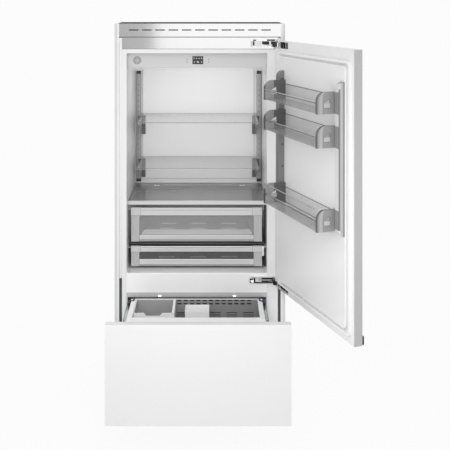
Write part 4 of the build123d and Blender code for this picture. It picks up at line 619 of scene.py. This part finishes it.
# Painted shade inside the basket: its walls and floor below the rim are grey, darker still below z
# 0.40.
BASKET = replace(LINER, name="basket_plastic", colour=tone(0.99), zones=(
    Zone(0.60, x=(-0.3385, 0.3065), z=(-FAR, 0.5595)),
    Zone(0.48, x=(-0.3385, 0.3065), z=(-FAR, 0.40))))
# Painted shade inside the ice bin: grey below its rim, darker still towards its floor.
ICE_PLASTIC = replace(LINER, name="ice_bin_plastic", colour=tone(0.99), coat=0.0, zones=(
    Zone(0.68, x=(-0.3355, -0.1295), y=(-0.2235, -0.0255), z=(-FAR, 0.5600)),
    Zone(0.50, x=(-0.3335, -0.1315), y=(-0.2235, -0.0255), z=(-FAR, 0.4750))))
SCOOP_PLASTIC = replace(ICE_PLASTIC, name="scoop_box_plastic", zones=(
    Zone(0.93, x=(-0.067, 0.043), y=(-FAR, -0.1895), z=(-FAR, 0.5510)),))
CRISPER_MIDDLE = -0.0195


def crisper_zones(top: float, lip: float, opening: Span) -> tuple[Zone, ...]:
    """Return the caps, joint lines and painted shade along the edges of one crisper front.

    Args:
        top: Z of the upper bar's top.
        lip: Depth of the bright lip along the top of the upper bar.
        opening: The lower and upper Z of the window between the bars.

    Returns:
        The zones, in the order in which they cover each other.
    """
    foot, head = opening
    rows = ((0.60, (0.0, 0.296), (top - lip - 0.0022, top - lip), 0.5),
            (0.52, (0.0, 0.3125), (head - 0.0005, head + 0.0028), 0.5),
            (0.66, (0.0, 0.3125), (-FAR, foot - 0.026), 0.5),
            (0.76, (0.3125, FAR), (-FAR, head + 0.003), 0.42),
            (0.84, (0.3045, FAR), (head + 0.003, FAR), 0.42),
            (0.55, (0.3030, 0.3048), (head + 0.003, FAR), 0.5),
            (0.50, (0.3118, 0.3136), (-FAR, foot), 0.5),
            (0.50, (0.304, FAR), (head + 0.0015, head + 0.003), 0.5))
    return tuple(Zone(shade, x=across, middle=CRISPER_MIDDLE, z=z, roughness=rough, metallic=0.0)
                 for shade, across, z, rough in rows)


# Both crisper fronts are the same aluminium; the lower bars are painted lighter than the upper
# ones: painted light.
UPPER_BARS = replace(
    BAR_ALUMINIUM, name="upper_crisper_bars", colour=tone(0.85),
    zones=crisper_zones(1.024, 0.013, (0.878, 0.979)))
LOWER_BARS = replace(
    BAR_ALUMINIUM, name="lower_crisper_bars", colour=tone(0.91),
    zones=crisper_zones(0.814, 0.007, (0.742, 0.780)))
LIGHT_BAR = Finish(
    "freezer_light_bar", tone(0.80), 0.4, zones=(Zone(1.0, y=(-FAR, 0.0099)),))
BIN_HEIGHT = 0.098
BIN_REACH = 0.136           # from the slab's inner face to a bin's front
BIN_ARCH = 0.042            # radius of an end cap's front corner
BIN_FEET = (1.133, 1.504, 1.655)        # Z of the lower edge of each door bin
BACK_WALL_TOPS = tuple(foot + 0.078 for foot in BIN_FEET)
RAIL_FEET = tuple(foot + 0.048 for foot in BIN_FEET)
SHELF_TOPS = (1.222, 1.478)
SHELF_EDGES = tuple(zone for top in SHELF_TOPS for zone in (
    Zone(0.50, y=(-FAR, 0.200), z=(top - 0.0075, top + 0.001)),
    Zone(0.46, y=(0.533, FAR), z=(top - 0.0025, top + 0.001))))
SHELF_GLASS = ClearFinish(
    "shelf_glass", tone(0.80), tone(0.80), 0.06, 0.30, edge=0.06, zones=SHELF_EDGES)
COVER_GLASS = ClearFinish(
    "cover_glass", tone(0.66), tone(0.50), 0.34, 0.62, edge=0.9,
    zones=(Zone(0.52, y=(0.382, 0.500)),))
FROSTED = ClearFinish(
    "frosted_bracket", tone(0.72), tone(0.45), 0.45, 0.75, edge=0.8, roughness=0.4)
CRISPER_CLEAR = ClearFinish(
    "crisper_plastic", tone(0.80), tone(0.84), 0.26, 0.60, edge=0.55, edge_axis=2)
# The lower tray is the same clear plastic as the upper one, painted darker and more solid: painted
# shade inside the lower crisper.
CRISPER_SHADED = ClearFinish(
    "lower_crisper_plastic_shaded", tone(0.50), tone(0.42), 0.40, 0.66, edge=0.6, edge_axis=2)
BIN_CLEAR = ClearFinish(
    "bin_plastic", tone(0.84), tone(0.62), 0.08, 0.36, edge=0.44, edge_axis=2,
    on_door=True, thin=Zone(1.0, y=(0.1315, FAR)),
    zones=tuple(Zone(0.40, y=(-FAR, 0.030), z=(top - 0.0022, top + 0.001))
                for top in BACK_WALL_TOPS))
# Painted highlight and painted shade across a cap's rounded front corner: lightest mid-arc,
# darkest at the edge.
CAP_HIGHLIGHT_BAND = tuple((place, tone(level)[0]) for place, level in (
    (0.0, 0.61), (0.17, 0.61), (0.20, 0.55), (0.27, 0.66), (0.50, 0.76), (0.74, 0.66),
    (0.90, 0.52), (0.985, 0.36)))
BIN_CAPS = ClearFinish(
    "bin_end_cap", tone(0.60), tone(0.30), 0.80, 0.92, edge=0.9, edge_axis=2,
    roughness=0.3, on_door=True, band=CAP_HIGHLIGHT_BAND,
    # The caps at the hinge end of the bins are painted darker, in three bands across their depth:
    # painted shade.
    zones=tuple(Zone(shade, x=(-0.40, FAR), y=span) for shade, span in (
        (0.40, (-FAR, 0.0850)), (0.62, (0.0850, 0.1310)),
        (0.26, (0.1310, FAR)))))
BIN_RAILS = Finish(
    "bin_front_rail", tone(0.86), 0.15, metallic=1.0, spread=0.03,
    zones=tuple(Zone(0.30, z=(foot - 0.0005, foot + 0.0022))
                for foot in RAIL_FEET))
DOOR_PAINT = Finish(
    "door_paint", tone(0.93), 0.36, spread=0.008, grain_scale=420.0,
    grain_depth=0.000012, on_door=True, zones=(Zone(0.72, x=(-FAR, -0.8706)),))
LINK_STEEL = Finish(
    "door_link_steel", tone(0.06), 0.35, spread=0.1, grain_scale=400.0,
    zones=(Zone(0.92, x=(0.4070, 0.4140), roughness=0.13, metallic=1.0),
           Zone(0.92, x=(0.4195, 0.4225), roughness=0.13, metallic=1.0)))
LEAF_STEEL = Finish(
    "door_leaf_steel", tone(0.88), 0.14, metallic=1.0, spread=0.10,
    grain_scale=400.0, on_door=True,
    zones=(Zone(0.06, x=(-FAR, -0.050), roughness=0.35, metallic=0.0),
           Zone(0.88, x=(-0.1130, -0.1070), roughness=0.2, metallic=1.0)))
RAIL_ENDS = ((1.767, FAR), (-FAR, 1.145))       # Z of both ends of a door rail
FREE_EDGE_ROWS = (          # shade, Y and Z limits on the door rail next to the free edge
    (0.84, (0.0492, FAR), (-FAR, FAR)),
    *((0.56, (0.0492, FAR), (foot, foot + BIN_HEIGHT)) for foot in BIN_FEET),
    *((0.84, (0.0400, FAR), end) for end in RAIL_ENDS),
    (0.32, (0.0455, 0.0492), (RAIL_ENDS[1][1], RAIL_ENDS[0][0])),
    *((0.36, (0.0370, 0.0400), end) for end in RAIL_ENDS),
    (0.74, (0.0290, 0.0400), (-FAR, FAR)),
    (0.42, (-FAR, 0.0235), (-FAR, FAR)))
DOOR_RAILS = Finish(
    "door_rails", tone(0.60), 0.42, spread=0.02, grain_scale=800.0, on_door=True,
    # The rail on the hinge side is painted darker than the one at the free edge: painted shade.
    zones=(Zone(0.50, x=(-0.40, FAR)),
           Zone(0.34, x=(-0.1420, -0.12), y=(0.0490, FAR)),
           *(Zone(shade, x=(-FAR, -0.70), y=y, z=z)
             for shade, y, z in FREE_EDGE_ROWS)))

NODE_FINISHES: dict[Finish | ClearFinish, tuple[str, ...]] = {
    GROOVE: ("cabinet_case",),
    FOAM: ("insulation_foam", "door_core", "drawer_core"),
    LINER: ("fridge_liner", "freezer_liner", "air_duct_panel", "evaporator_cover",
            "door_liner", "drawer_liner"),
    ICE_PLASTIC: ("ice_bin",),
    SCOOP_PLASTIC: ("scoop_box",),
    BASKET: ("freezer_basket",),
    FRAME_PLASTIC: ("front_frame",),
    TRIMS: ("side_trims",),
    MIRROR_STEEL: ("top_grille",),
    HEADER_STEEL: ("header_panel",),
    DARK_PAINT: ("kick_plate", "compressor"),
    TOP_PAINT: ("top_cover",),
    FASCIA_PLASTIC: ("control_fascia",),
    SCREEN: ("control_display",),
    LAMP: ("fridge_lamp",),
    RAIL_PLASTIC: ("shelf_rails",),
    FROSTED: ("shelf_brackets",),
    SHELF_GLASS: ("lower_shelf", "upper_shelf"),
    COVER_GLASS: ("crisper_cover_glass",),
    BAR_ALUMINIUM: ("crisper_cover_trim",),
    LIGHT_BAR: ("freezer_light_bar",),
    COPPER: ("evaporator_coil", "condenser_coil"),
    CASE_PAINT: ("base_frame", "condenser_fan_shroud"),
    BLACK_RUBBER: ("levelling_feet",),
    BLACK_PLASTIC: ("drip_pan", "evaporator_fan", "condenser_fan", "door_bumper"),
    HINGE_STEEL: ("cabinet_hinge_leaves",),
    LINK_STEEL: ("door_hinge_links",),
    LEAF_STEEL: ("door_hinge_leaves",),
    HINGE_BLACK: ("cabinet_hinge_links",),
    ZINC: ("cabinet_slide_rails", "middle_slide_rails", "drawer_slide_rails"),
    WHITE_PAINT: ("drawer_panel",),
    DOOR_PAINT: ("door_panel",),
    SEAL: ("door_gasket", "drawer_gasket"),
    DOOR_RAILS: ("door_rails",),
    BIN_CLEAR: ("lower_bin_tray", "middle_bin_tray", "upper_bin_tray"),
    BIN_CAPS: ("bin_end_caps",),
    BIN_RAILS: ("bin_front_rails",),
    CRISPER_CLEAR: ("upper_crisper_tray",),
    CRISPER_SHADED: ("lower_crisper_tray",),
    UPPER_BARS: ("upper_crisper_frame",),
    LOWER_BARS: ("lower_crisper_frame",),
}


@dataclass
class CadNodes:
    """The rigid nodes that come with the frame, which keep their shape and get finishes."""

    nodes: dict[str, bpy.types.Object]

    def dress(self) -> None:
        """Give every node its finish."""
        left = set(self.nodes)
        for finish, names in NODE_FINISHES.items():
            for name in names:
                node = self.nodes[name]
                for slot in node.material_slots:
                    slot.material = finish.material()
                left.discard(name)
        LOG.info("dressed %d nodes, left over: %s", len(self.nodes) - len(left), sorted(left))


def around(middle: float, half: float) -> Span:
    """Return the limits that lie equally far on both sides of a middle."""
    return (middle - half, middle + half)


@dataclass(frozen=True)
class Fitting:
    """A small piece that is made of boxes and discs and rides on one body."""

    name: str
    finish: Finish
    body: str
    slot: str
    boxes: tuple[Box, ...] = ()
    bevel: float = 0.0
    discs: tuple[Disc, ...] = ()
    frame: Matrix | None = None

    def build(self) -> None:
        """Build the boxes and discs as one piece."""
        piece = Piece(self.name, self.frame)
        for box in self.boxes:
            piece.block(*box, self.bevel)
        for disc in self.discs:
            piece.round(disc)
        piece.build(self.finish, self.body, self.slot)


def leaf_boxes(bottom: float, depth: Span, blocks: tuple[tuple[Span, Span], ...]
               ) -> tuple[Box, ...]:
    """Return boxes on a hinge's cabinet leaf.

    Args:
        bottom: Z of the leaf's lower edge.
        depth: Their limits along Y.
        blocks: Their limits along X and Z, from the leaf's lower left corner.
    """
    return tuple(((HINGE_LEFT + x[0], HINGE_LEFT + x[1]), depth, (bottom + z[0], bottom + z[1]))
                 for x, z in blocks)


def badge_disc(number: int, radius: float, proud: float, shade: float) -> Fitting:
    """Return one of the thin discs that the bare badge on the fascia is stacked from.

    Args:
        number: Its place in the stack.
        radius: Its radius.
        proud: How far it stands out of the fascia.
        shade: Its grey level.
    """
    return Fitting(f"badge_disc_{number}",
                   replace(FASCIA_PLASTIC, name=f"badge_{number}", colour=tone(shade)),
                   "cabinet", "lamp_plastic",
                   discs=(Disc((-0.3407, FASCIA_FACE - proud / 2, 1.8295), radius, proud,
                               top=radius - 0.0004, sides=48),))


def tray_rib_boxes(floor: float, backs: tuple[float, ...]) -> tuple[Box, ...]:
    """Return the three ribs in each row on a tray's floor.

    Args:
        floor: Z of the floor's top.
        backs: Y of the middle of each row.
    """
    return tuple((around(x, 0.044), around(back, 0.008), (floor - 0.0004, floor + 0.0012))
                 for back in backs for x in (-0.190, -0.0125, 0.164))


def tray_border(side: int, label: str) -> Fitting:
    """Return the dark border along one side of the upper tray's floor, which runs askew.

    Args:
        side: 1 for the left border and -1 for the right one.
        label: The side's name.
    """
    (x, front), (back_x, back) = (-0.340, 0.180), (-0.301, 0.505)
    turn = Matrix.Rotation(-side * math.atan2(back_x - x, back - front), 4, "Z")
    place = (CRISPER_MIDDLE + side * ((x + back_x) / 2 - CRISPER_MIDDLE), (front + back) / 2,
             UPPER_FLOOR)
    half = math.hypot(back_x - x, back - front) / 2
    return Fitting(f"upper_crisper_{label}_border",
                   replace(MARKS, name="tray_border", colour=tone(0.22)), "upper_crisper",
                   "clear_plastic", ((around(0.0, 0.0030), around(0.0, half),
                                      (-0.0004, 0.0020)),),
                   0.0006, frame=Matrix.Translation(place) @ turn)


HINGE_LEFT = 0.274          # X of the cabinet leaves' left edge
LOWER_HINGE = 0.6485        # Z of the lower edge of each hinge's leaves
UPPER_HINGE = 1.905
ON_LEAF = (-0.0047, -0.0024)        # Y of a cover on the leaf's back plate
BESIDE_LEAF = (-0.0114, -0.0002)    # Y of a cover above or below the leaf
EYES = tuple((HINGE_LEFT + along, bottom + rise) for bottom, along, rise in (
    (LOWER_HINGE, 0.0340, 0.0090), (LOWER_HINGE, 0.0500, 0.0085), (LOWER_HINGE, 0.1040, 0.0090),
    (UPPER_HINGE, 0.0300, 0.0110)))
DISPLAY_MIDDLE = -0.012
FASCIA_FACE = 0.060
UPPER_FLOOR = 0.8435        # Z of the top of each crisper tray's floor
LOWER_FLOOR = 0.7095
LENS_X = (-0.3927, 0.3597)
LENS_Y = (0.0003, 0.0082)
RAIL_SLOT_FEET = tuple(1.196 + number * 0.1111 for number in range(6))
BIN_ENDS = ((0.171, 0.181), (0.767, 0.777))     # metres from the door's hinge edge
# The ribs glow a little though they are no lamp: painted light that keeps them bright in the
# tray's shade.
GLOWING_TRAY_RIB = replace(MARKS, name="tray_rib", glow=0.10)

FITTINGS = (
    # The lights on the display: two rows of dots and a mark of three strokes.
    Fitting("display_lights", LIGHTS, "cabinet", "lamp_plastic",
            tuple((around(DISPLAY_MIDDLE + step, 0.0013), (0.0590, 0.0596),
                   around(1.8200 + rise, 0.0026))
                  for step, rise in ((-0.004, 0.0), (0.0, 0.002), (0.004, -0.001))), 0.0005,
            tuple(Disc((DISPLAY_MIDDLE + step, 0.0593, z), 0.0021, 0.0006)
                  for z, steps in ((1.8405, (-0.0205, -0.0065, 0.0070, 0.0205)),
                                   (1.8200, (-0.0200, 0.0205))) for step in steps)),
    Fitting("touch_points", replace(FASCIA_PLASTIC, name="touch_point", colour=tone(0.55)),
            "cabinet", "lamp_plastic",
            discs=tuple(Disc((DISPLAY_MIDDLE + step, FASCIA_FACE - 0.0001, z), 0.0030, 0.0006)
                        for step in (-0.058, 0.058) for z in (1.8350, 1.8205))),
    # The two oval buttons at the back of the crisper cover.
    Fitting("cover_vents", MARKS, "cabinet", "liner_plastic",
            discs=tuple(Disc((x + step, 0.472, 1.0646), 0.0075, 0.0012, upright=True, sides=24,
                             squash=0.7) for x in (-0.259, 0.242) for step in (-0.0085, 0.0085))),
    # The black covers, the adjusters and the screws of the hinges.
    Fitting("hinge_covers", HINGE_BLACK, "cabinet", "dark_plastic",
            leaf_boxes(LOWER_HINGE, ON_LEAF, (
                ((0.0138, 0.0244), (0.0024, 0.0276)), ((0.0259, 0.1240), (0.0130, 0.0230)),
                ((0.0560, 0.0940), (0.0030, 0.0060)), ((0.1160, 0.1266), (0.0024, 0.0276))))
            + leaf_boxes(LOWER_HINGE, BESIDE_LEAF, (
                ((0.0138, 0.1240), (-0.0052, 0.0001)), ((-0.0070, 0.0138), (-0.0030, 0.0001)),
                ((-0.0070, 0.0002), (0.0020, 0.0040))))
            + leaf_boxes(UPPER_HINGE, ON_LEAF, (
                ((0.0090, 0.0178), (0.0080, 0.0315)), ((0.0250, 0.0340), (0.0180, 0.0315)),
                ((0.0385, 0.0450), (0.0180, 0.0300)), ((0.0590, 0.0963), (0.0130, 0.0315)),
                ((0.1065, 0.1266), (0.0150, 0.0315))))
            + leaf_boxes(UPPER_HINGE, BESIDE_LEAF, (
                ((0.0090, 0.0280), (0.0339, 0.0400)), ((0.0850, 0.1266), (0.0339, 0.0410)),
                ((-0.0004, 0.0006), (-0.0010, 0.0350)))), 0.0003,
            tuple(Disc((x, -0.0045, z), 0.0022, 0.0006) for x, z in EYES)
            + tuple(Disc((HINGE_LEFT + along, -0.0024, LOWER_HINGE + 0.0132), 0.0045, 0.0047)
                    for along in (-0.0034, 0.0062))),
    Fitting("hinge_adjusters", HINGE_STEEL, "cabinet", "zinc_steel",
            leaf_boxes(UPPER_HINGE, (-0.0040, -0.0024), (((0.0300, 0.0980), (0.0085, 0.0125)),)),
            0.0004, tuple(Disc((x, -0.0034, z), 0.0052, 0.0020, top=0.0044) for x, z in EYES)),
    Fitting("hinge_screws", ZINC, "cabinet", "zinc_steel",
            discs=tuple(Disc((HINGE_LEFT + 0.005, -0.0034, UPPER_HINGE + rise), 0.0022, 0.0012)
                        for rise in (0.0102, 0.0238))),
    Fitting("door_leaf_screws", ZINC, "door", "zinc_steel",
            discs=tuple(Disc((-along, -0.0264, middle), 0.0030, 0.0012)
                        for middle in (LOWER_HINGE + 0.015, UPPER_HINGE + 0.017)
                        for along in (0.124, 0.142)), frame=door_frame()),
    # The guides at the rear corners of the freezer basket, their rollers and the release.
    Fitting("slide_guides", HINGE_BLACK, "drawer", "dark_plastic",
            tuple((across, (front, -0.0165), (0.5425, top)) for across, front, top in (
                ((-0.3730, -0.3465), -0.0505, 0.5645), ((-0.3770, -0.3650), -0.0805, 0.5610),
                ((0.3145, 0.3410), -0.0505, 0.5645), ((0.3330, 0.3450), -0.0805, 0.5610))),
            0.0015),
    Fitting("slide_rollers", SEAL, "drawer", "lamp_plastic",
            discs=tuple(Disc((x, -0.0355, 0.5649), 0.0056, 0.0012, upright=True, squash=1.8)
                        for x in (-0.359, 0.327))),
    Fitting("slide_release", Finish("blue_plastic", tone(0.16, 0.24, 0.60), 0.4, spread=0.04),
            "drawer", "dark_plastic",
            (((0.321, 0.332), (-0.0605, -0.0485), (0.5585, 0.5650)),), 0.001),
    *(badge_disc(*row) for row in ((0, 0.0212, 0.0010, 0.42), (1, 0.0186, 0.0016, 0.78),
                                   (2, 0.0146, 0.0020, 0.42), (3, 0.0124, 0.0024, 0.74))),
    # The dark strips inside the shelf rails, which paint the shade seen through their notches.
    Fitting("rail_notch_shades", replace(RAIL_PLASTIC, name="rail_back", colour=tone(0.52), zones=()),
            "cabinet", "grey_plastic",
            tuple((around(middle, 0.0040), (0.5412, 0.5428), (1.094, 1.712))
                  for middle in (-0.372, 0.345))),
    # The ribs and the ledge, which glow as painted light, and the borders on the trays' floors.
    Fitting("upper_crisper_ribs", GLOWING_TRAY_RIB, "upper_crisper", "clear_plastic",
            tray_rib_boxes(UPPER_FLOOR, (0.459, 0.347)), 0.0005),
    Fitting("lower_crisper_ribs", GLOWING_TRAY_RIB, "lower_crisper", "clear_plastic",
            tray_rib_boxes(LOWER_FLOOR, (0.248,)), 0.0005),
    # The ledge glows: a painted bright strip across the front of the tray's floor.
    Fitting("upper_crisper_ledge", replace(MARKS, name="tray_ledge", glow=0.30),
            "upper_crisper", "clear_plastic",
            (((-0.330, 0.291), (0.205, 0.322), (UPPER_FLOOR - 0.0004, UPPER_FLOOR + 0.0010)),),
            0.0005),
    tray_border(1, "left"),
    tray_border(-1, "right"),
    # The plate between the trays, the seal strip beside them and the lower tray's catch.
    Fitting("crisper_divider",
            replace(FASCIA_PLASTIC, name="divider_plastic", colour=tone(0.46)), "cabinet",
            "grey_plastic", (((-0.3921, 0.3591), (0.112, 0.520), (0.8175, 0.8215)),), 0.001),
    Fitting("crisper_seal", BLACK_RUBBER, "cabinet", "dark_plastic",
            tuple(((0.3505, 0.3588), (0.1060, 0.1110), span)
                  for span in ((0.826, 1.040), (0.700, 0.756))), 0.001),
    Fitting("crisper_catch", MARKS, "lower_crisper", "liner_plastic",
            (((0.3376, 0.3488), (0.0900, 0.1030), (0.760, 0.812)),), 0.0015),
    # The lens of the freezer's light bar with its side strips.
    Fitting("light_bar_lens",
            replace(FASCIA_PLASTIC, name="light_bar_lens", colour=tone(0.78)), "cabinet",
            "lamp_plastic",
            ((LENS_X, LENS_Y, (0.5655, 0.5906)),
             ((LENS_X[0], LENS_X[0] + 0.0058), LENS_Y, (0.36, 0.5675)),
             ((LENS_X[1] - 0.0058, LENS_X[1]), LENS_Y, (0.36, 0.5675))), 0.001),
    Fitting("freezer_lamps", LAMP, "cabinet", "lamp_plastic",
            discs=tuple(Disc((x, LENS_Y[0] - 0.0002, 0.5725), 0.0095, 0.0010, sides=32,
                             squash=0.48) for x in (-0.2155, 0.1850))),
    # The black sheet behind the basket's slots, which paints the shade seen through them, and the
    # basket's rear lip.
    Fitting("vent_shade_sheet", BLACK_PLASTIC, "drawer", "dark_plastic",
            (((-0.140, 0.300), (-0.0199, -0.0186), (0.400, 0.559)),), 0.0003),
    Fitting("basket_rear_lip",
            replace(FASCIA_PLASTIC, name="basket_lip", colour=tone(0.70)), "drawer",
            "liner_plastic",
            (((-0.346, 0.314), (-0.0228, -0.0128), (0.5600, 0.5643)),), 0.001),
    # The dark strip behind the grille's slots, which paints the shade seen through them, and the
    # inlays of the side grooves.
    Fitting("grille_slot_shade", BLACK_PLASTIC, "cabinet", "dark_plastic",
            ((around(0.0, 0.395), (0.0016, 0.0026), (1.990, 2.002)),), 0.0003),
    Fitting("groove_inlays", FRAME_PLASTIC, "cabinet", "liner_plastic",
            tuple((across, (0.004, 0.028), (0.665, 1.955))
                  for across in ((-0.4327, -0.4173), (0.4173, 0.4327))), 0.002),
    # The slots in the side of the door rail next to the hinges.
    Fitting("door_rail_slots", BLACK_PLASTIC, "door", "dark_plastic",
            tuple(((-0.1654, -0.1647), (0.0290, 0.0345), (foot, foot + 0.009))
                  for foot in RAIL_SLOT_FEET), 0.0002, frame=door_frame()),
    # The pale windows in the end caps of the door bins.
    Fitting("bin_windows", replace(MARKS, name="bin_window", colour=tone(0.74)), "door",
            "clear_plastic",
            tuple(((-end[1], -end[0]), (0.0685, 0.0995), (foot + 0.0265, foot + 0.0480))
                  for foot in BIN_FEET for end in BIN_ENDS), 0.001, frame=door_frame()),
)


@dataclass(frozen=True)
class Softbox:
    """A rectangular lamp that faces a point."""

    name: str
    place: Colour
    target: Colour
    size: Span
    power: float                # in watts
    mirrored: bool = True       # whether polished faces show it

    def hang(self) -> None:
        """Hang the lamp."""
        data = bpy.data.lights.new(self.name, "AREA")
        data.shape = "RECTANGLE"
        data.size, data.size_y = self.size
        data.energy = self.power
        thing = put(self.name, data)
        thing.location = self.place
        thing.visible_glossy = self.mirrored
        aim = Vector(self.target) - Vector(self.place)
        thing.rotation_euler = aim.to_track_quat("-Z", "Y").to_euler()


@dataclass
class Studio:
    """The camera, the soft lights, the floor and the world."""

    camera_place: Colour = (0.0648, -4.776, 2.1754)
    lens: float = 71.36
    shift: Span = (0.0289, -0.5078)
    ambient: float = 0.70
    floor_reach: float = 1500.0
    card_x: Span = (-3.4, -0.56)
    card_y: float = -4.9
    card_z: Span = (1.1, 2.3)
    card_shades: Span = (0.66, 0.74)
    floor_white: float = 0.93   # the share of plain white in what the camera sees of the floor
    lamps: tuple[Softbox, ...] = (
        Softbox("key", (-0.4, -5.4, 3.6), (0.0, 0.0, 1.0), (2.6, 2.6), 46.0),
        Softbox("fill", (3.4, -4.4, 2.2), (0.2, 0.0, 1.0), (2.4, 2.4), 12.0),
        Softbox("front", (-0.1, -1.7, 1.35), (0.0, 0.0, 0.75), (1.0, 0.6), 6.5, False),
        Softbox("cabin", (-0.016, 0.16, 1.778), (-0.016, 0.54, 1.50), (0.60, 0.12), 0.66),
        Softbox("shelf", (-0.016, 0.12, 1.20), (-0.016, 0.42, 0.98), (0.60, 0.08), 0.16))

    def camera(self) -> None:
        """Set up the level camera that the photograph was taken with."""
        data = bpy.data.cameras.new("camera")
        data.lens = self.lens
        data.sensor_width = 36.0
        data.shift_x, data.shift_y = self.shift
        data.clip_end = 2 * self.floor_reach
        thing = put("camera", data)
        thing.location = self.camera_place
        thing.rotation_euler = (math.radians(90), 0.0, 0.0)
        bpy.context.scene.camera = thing

    def card(self) -> None:
        """Stand a grey card beside the camera, which only polished faces show."""
        graph = Graph("grey_card")
        cloud = graph.noise(graph.place(), 0.4, 1.0)
        graph.close(graph.node("ShaderNodeEmission", inputs={
            "Color": graph.blend(cloud, *(tone(level) for level in self.card_shades)),
            "Strength": 1.0}))
        thing = self.sheet(graph, (self.card_x[1] - self.card_x[0],
                                   self.card_z[1] - self.card_z[0]), TO_FRONT,
                           (sum(self.card_x) / 2, self.card_y, sum(self.card_z) / 2))
        for kind in ("camera", "diffuse", "shadow", "transmission", "volume_scatter"):
            setattr(thing, f"visible_{kind}", False)

    @staticmethod
    def sheet(graph: Graph, size: Span, turn: Matrix, place: Colour) -> bpy.types.Object:
        """Put a flat sheet of the studio into the scene.

        Args:
            graph: The graph of its material, whose name it takes.
            size: Its width and length.
            turn: The turn that lays it.
            place: Its middle.
        """
        form = bmesh.new()
        bmesh.ops.create_grid(form, x_segments=1, y_segments=1, size=0.5)
        bmesh.ops.scale(form, verts=form.verts, vec=(*size, 1.0))
        bmesh.ops.rotate(form, verts=form.verts, matrix=turn.to_3x3())
        bmesh.ops.translate(form, verts=form.verts, vec=place)
        thing = stand(graph.name, form, graph.owner)
        return thing

    @staticmethod
    def seen(graph: Graph) -> Signal:
        """Return 1 for rays that come from the camera, from a mirror or through glass."""
        path = graph.node("ShaderNodeLightPath", output="Is Camera Ray")
        outputs = path.socket.node.outputs
        mirrored = Signal(graph, outputs["Is Glossy Ray"])
        passed = Signal(graph, outputs["Is Transmission Ray"])
        return path.largest(mirrored).largest(passed)

    def world(self) -> None:
        """Light the scene evenly and show white behind it and in its reflections."""
        world = bpy.data.worlds.new("world")
        graph = Graph("world", world)
        shades = [graph.node("ShaderNodeBackground", inputs={
            "Color": (1.0, 1.0, 1.0), "Strength": strength}) for strength in (self.ambient, 1.0)]
        graph.close(graph.node("ShaderNodeMixShader", inputs=[self.seen(graph), *shades]))
        bpy.context.scene.world = world

    def floor(self) -> None:
        """Lay a pale floor that shows white to the camera and keeps the soft shadow."""
        graph = Graph("studio_floor")
        where = graph.place()
        cloud = graph.noise(where, 1.5, 2.0)
        base = graph.blend(cloud, tone(0.90), tone(0.92))
        paint = graph.node("ShaderNodeBsdfPrincipled", inputs={
            "Base Color": base, "Roughness": cloud * 0.1 + 0.6})
        white = graph.node("ShaderNodeEmission", inputs={"Color": (1.0, 1.0, 1.0),
                                                         "Strength": 1.0})
        shown = self.seen(graph) * self.floor_white
        graph.close(graph.node("ShaderNodeMixShader", inputs=[shown, paint, white]))
        self.sheet(graph, (2 * self.floor_reach, 2 * self.floor_reach), Matrix.Identity(4),
                   (0.0, 0.0, -0.0005))

    def build(self) -> None:
        """Set up the whole studio."""
        self.camera()
        self.world()
        self.floor()
        for lamp in self.lamps:
            lamp.hang()
        self.card()
        bpy.context.scene.view_settings.view_transform = "Standard"


def main() -> None:
    """Build the dressed refrigerator in the frame."""
    logging.basicConfig(level=logging.INFO, format="%(name)s %(message)s")
    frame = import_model()
    CadNodes(frame["nodes"]).dress()
    for fitting in FITTINGS:
        fitting.build()
    Studio().build()


if __name__ == "__main__":
    main()
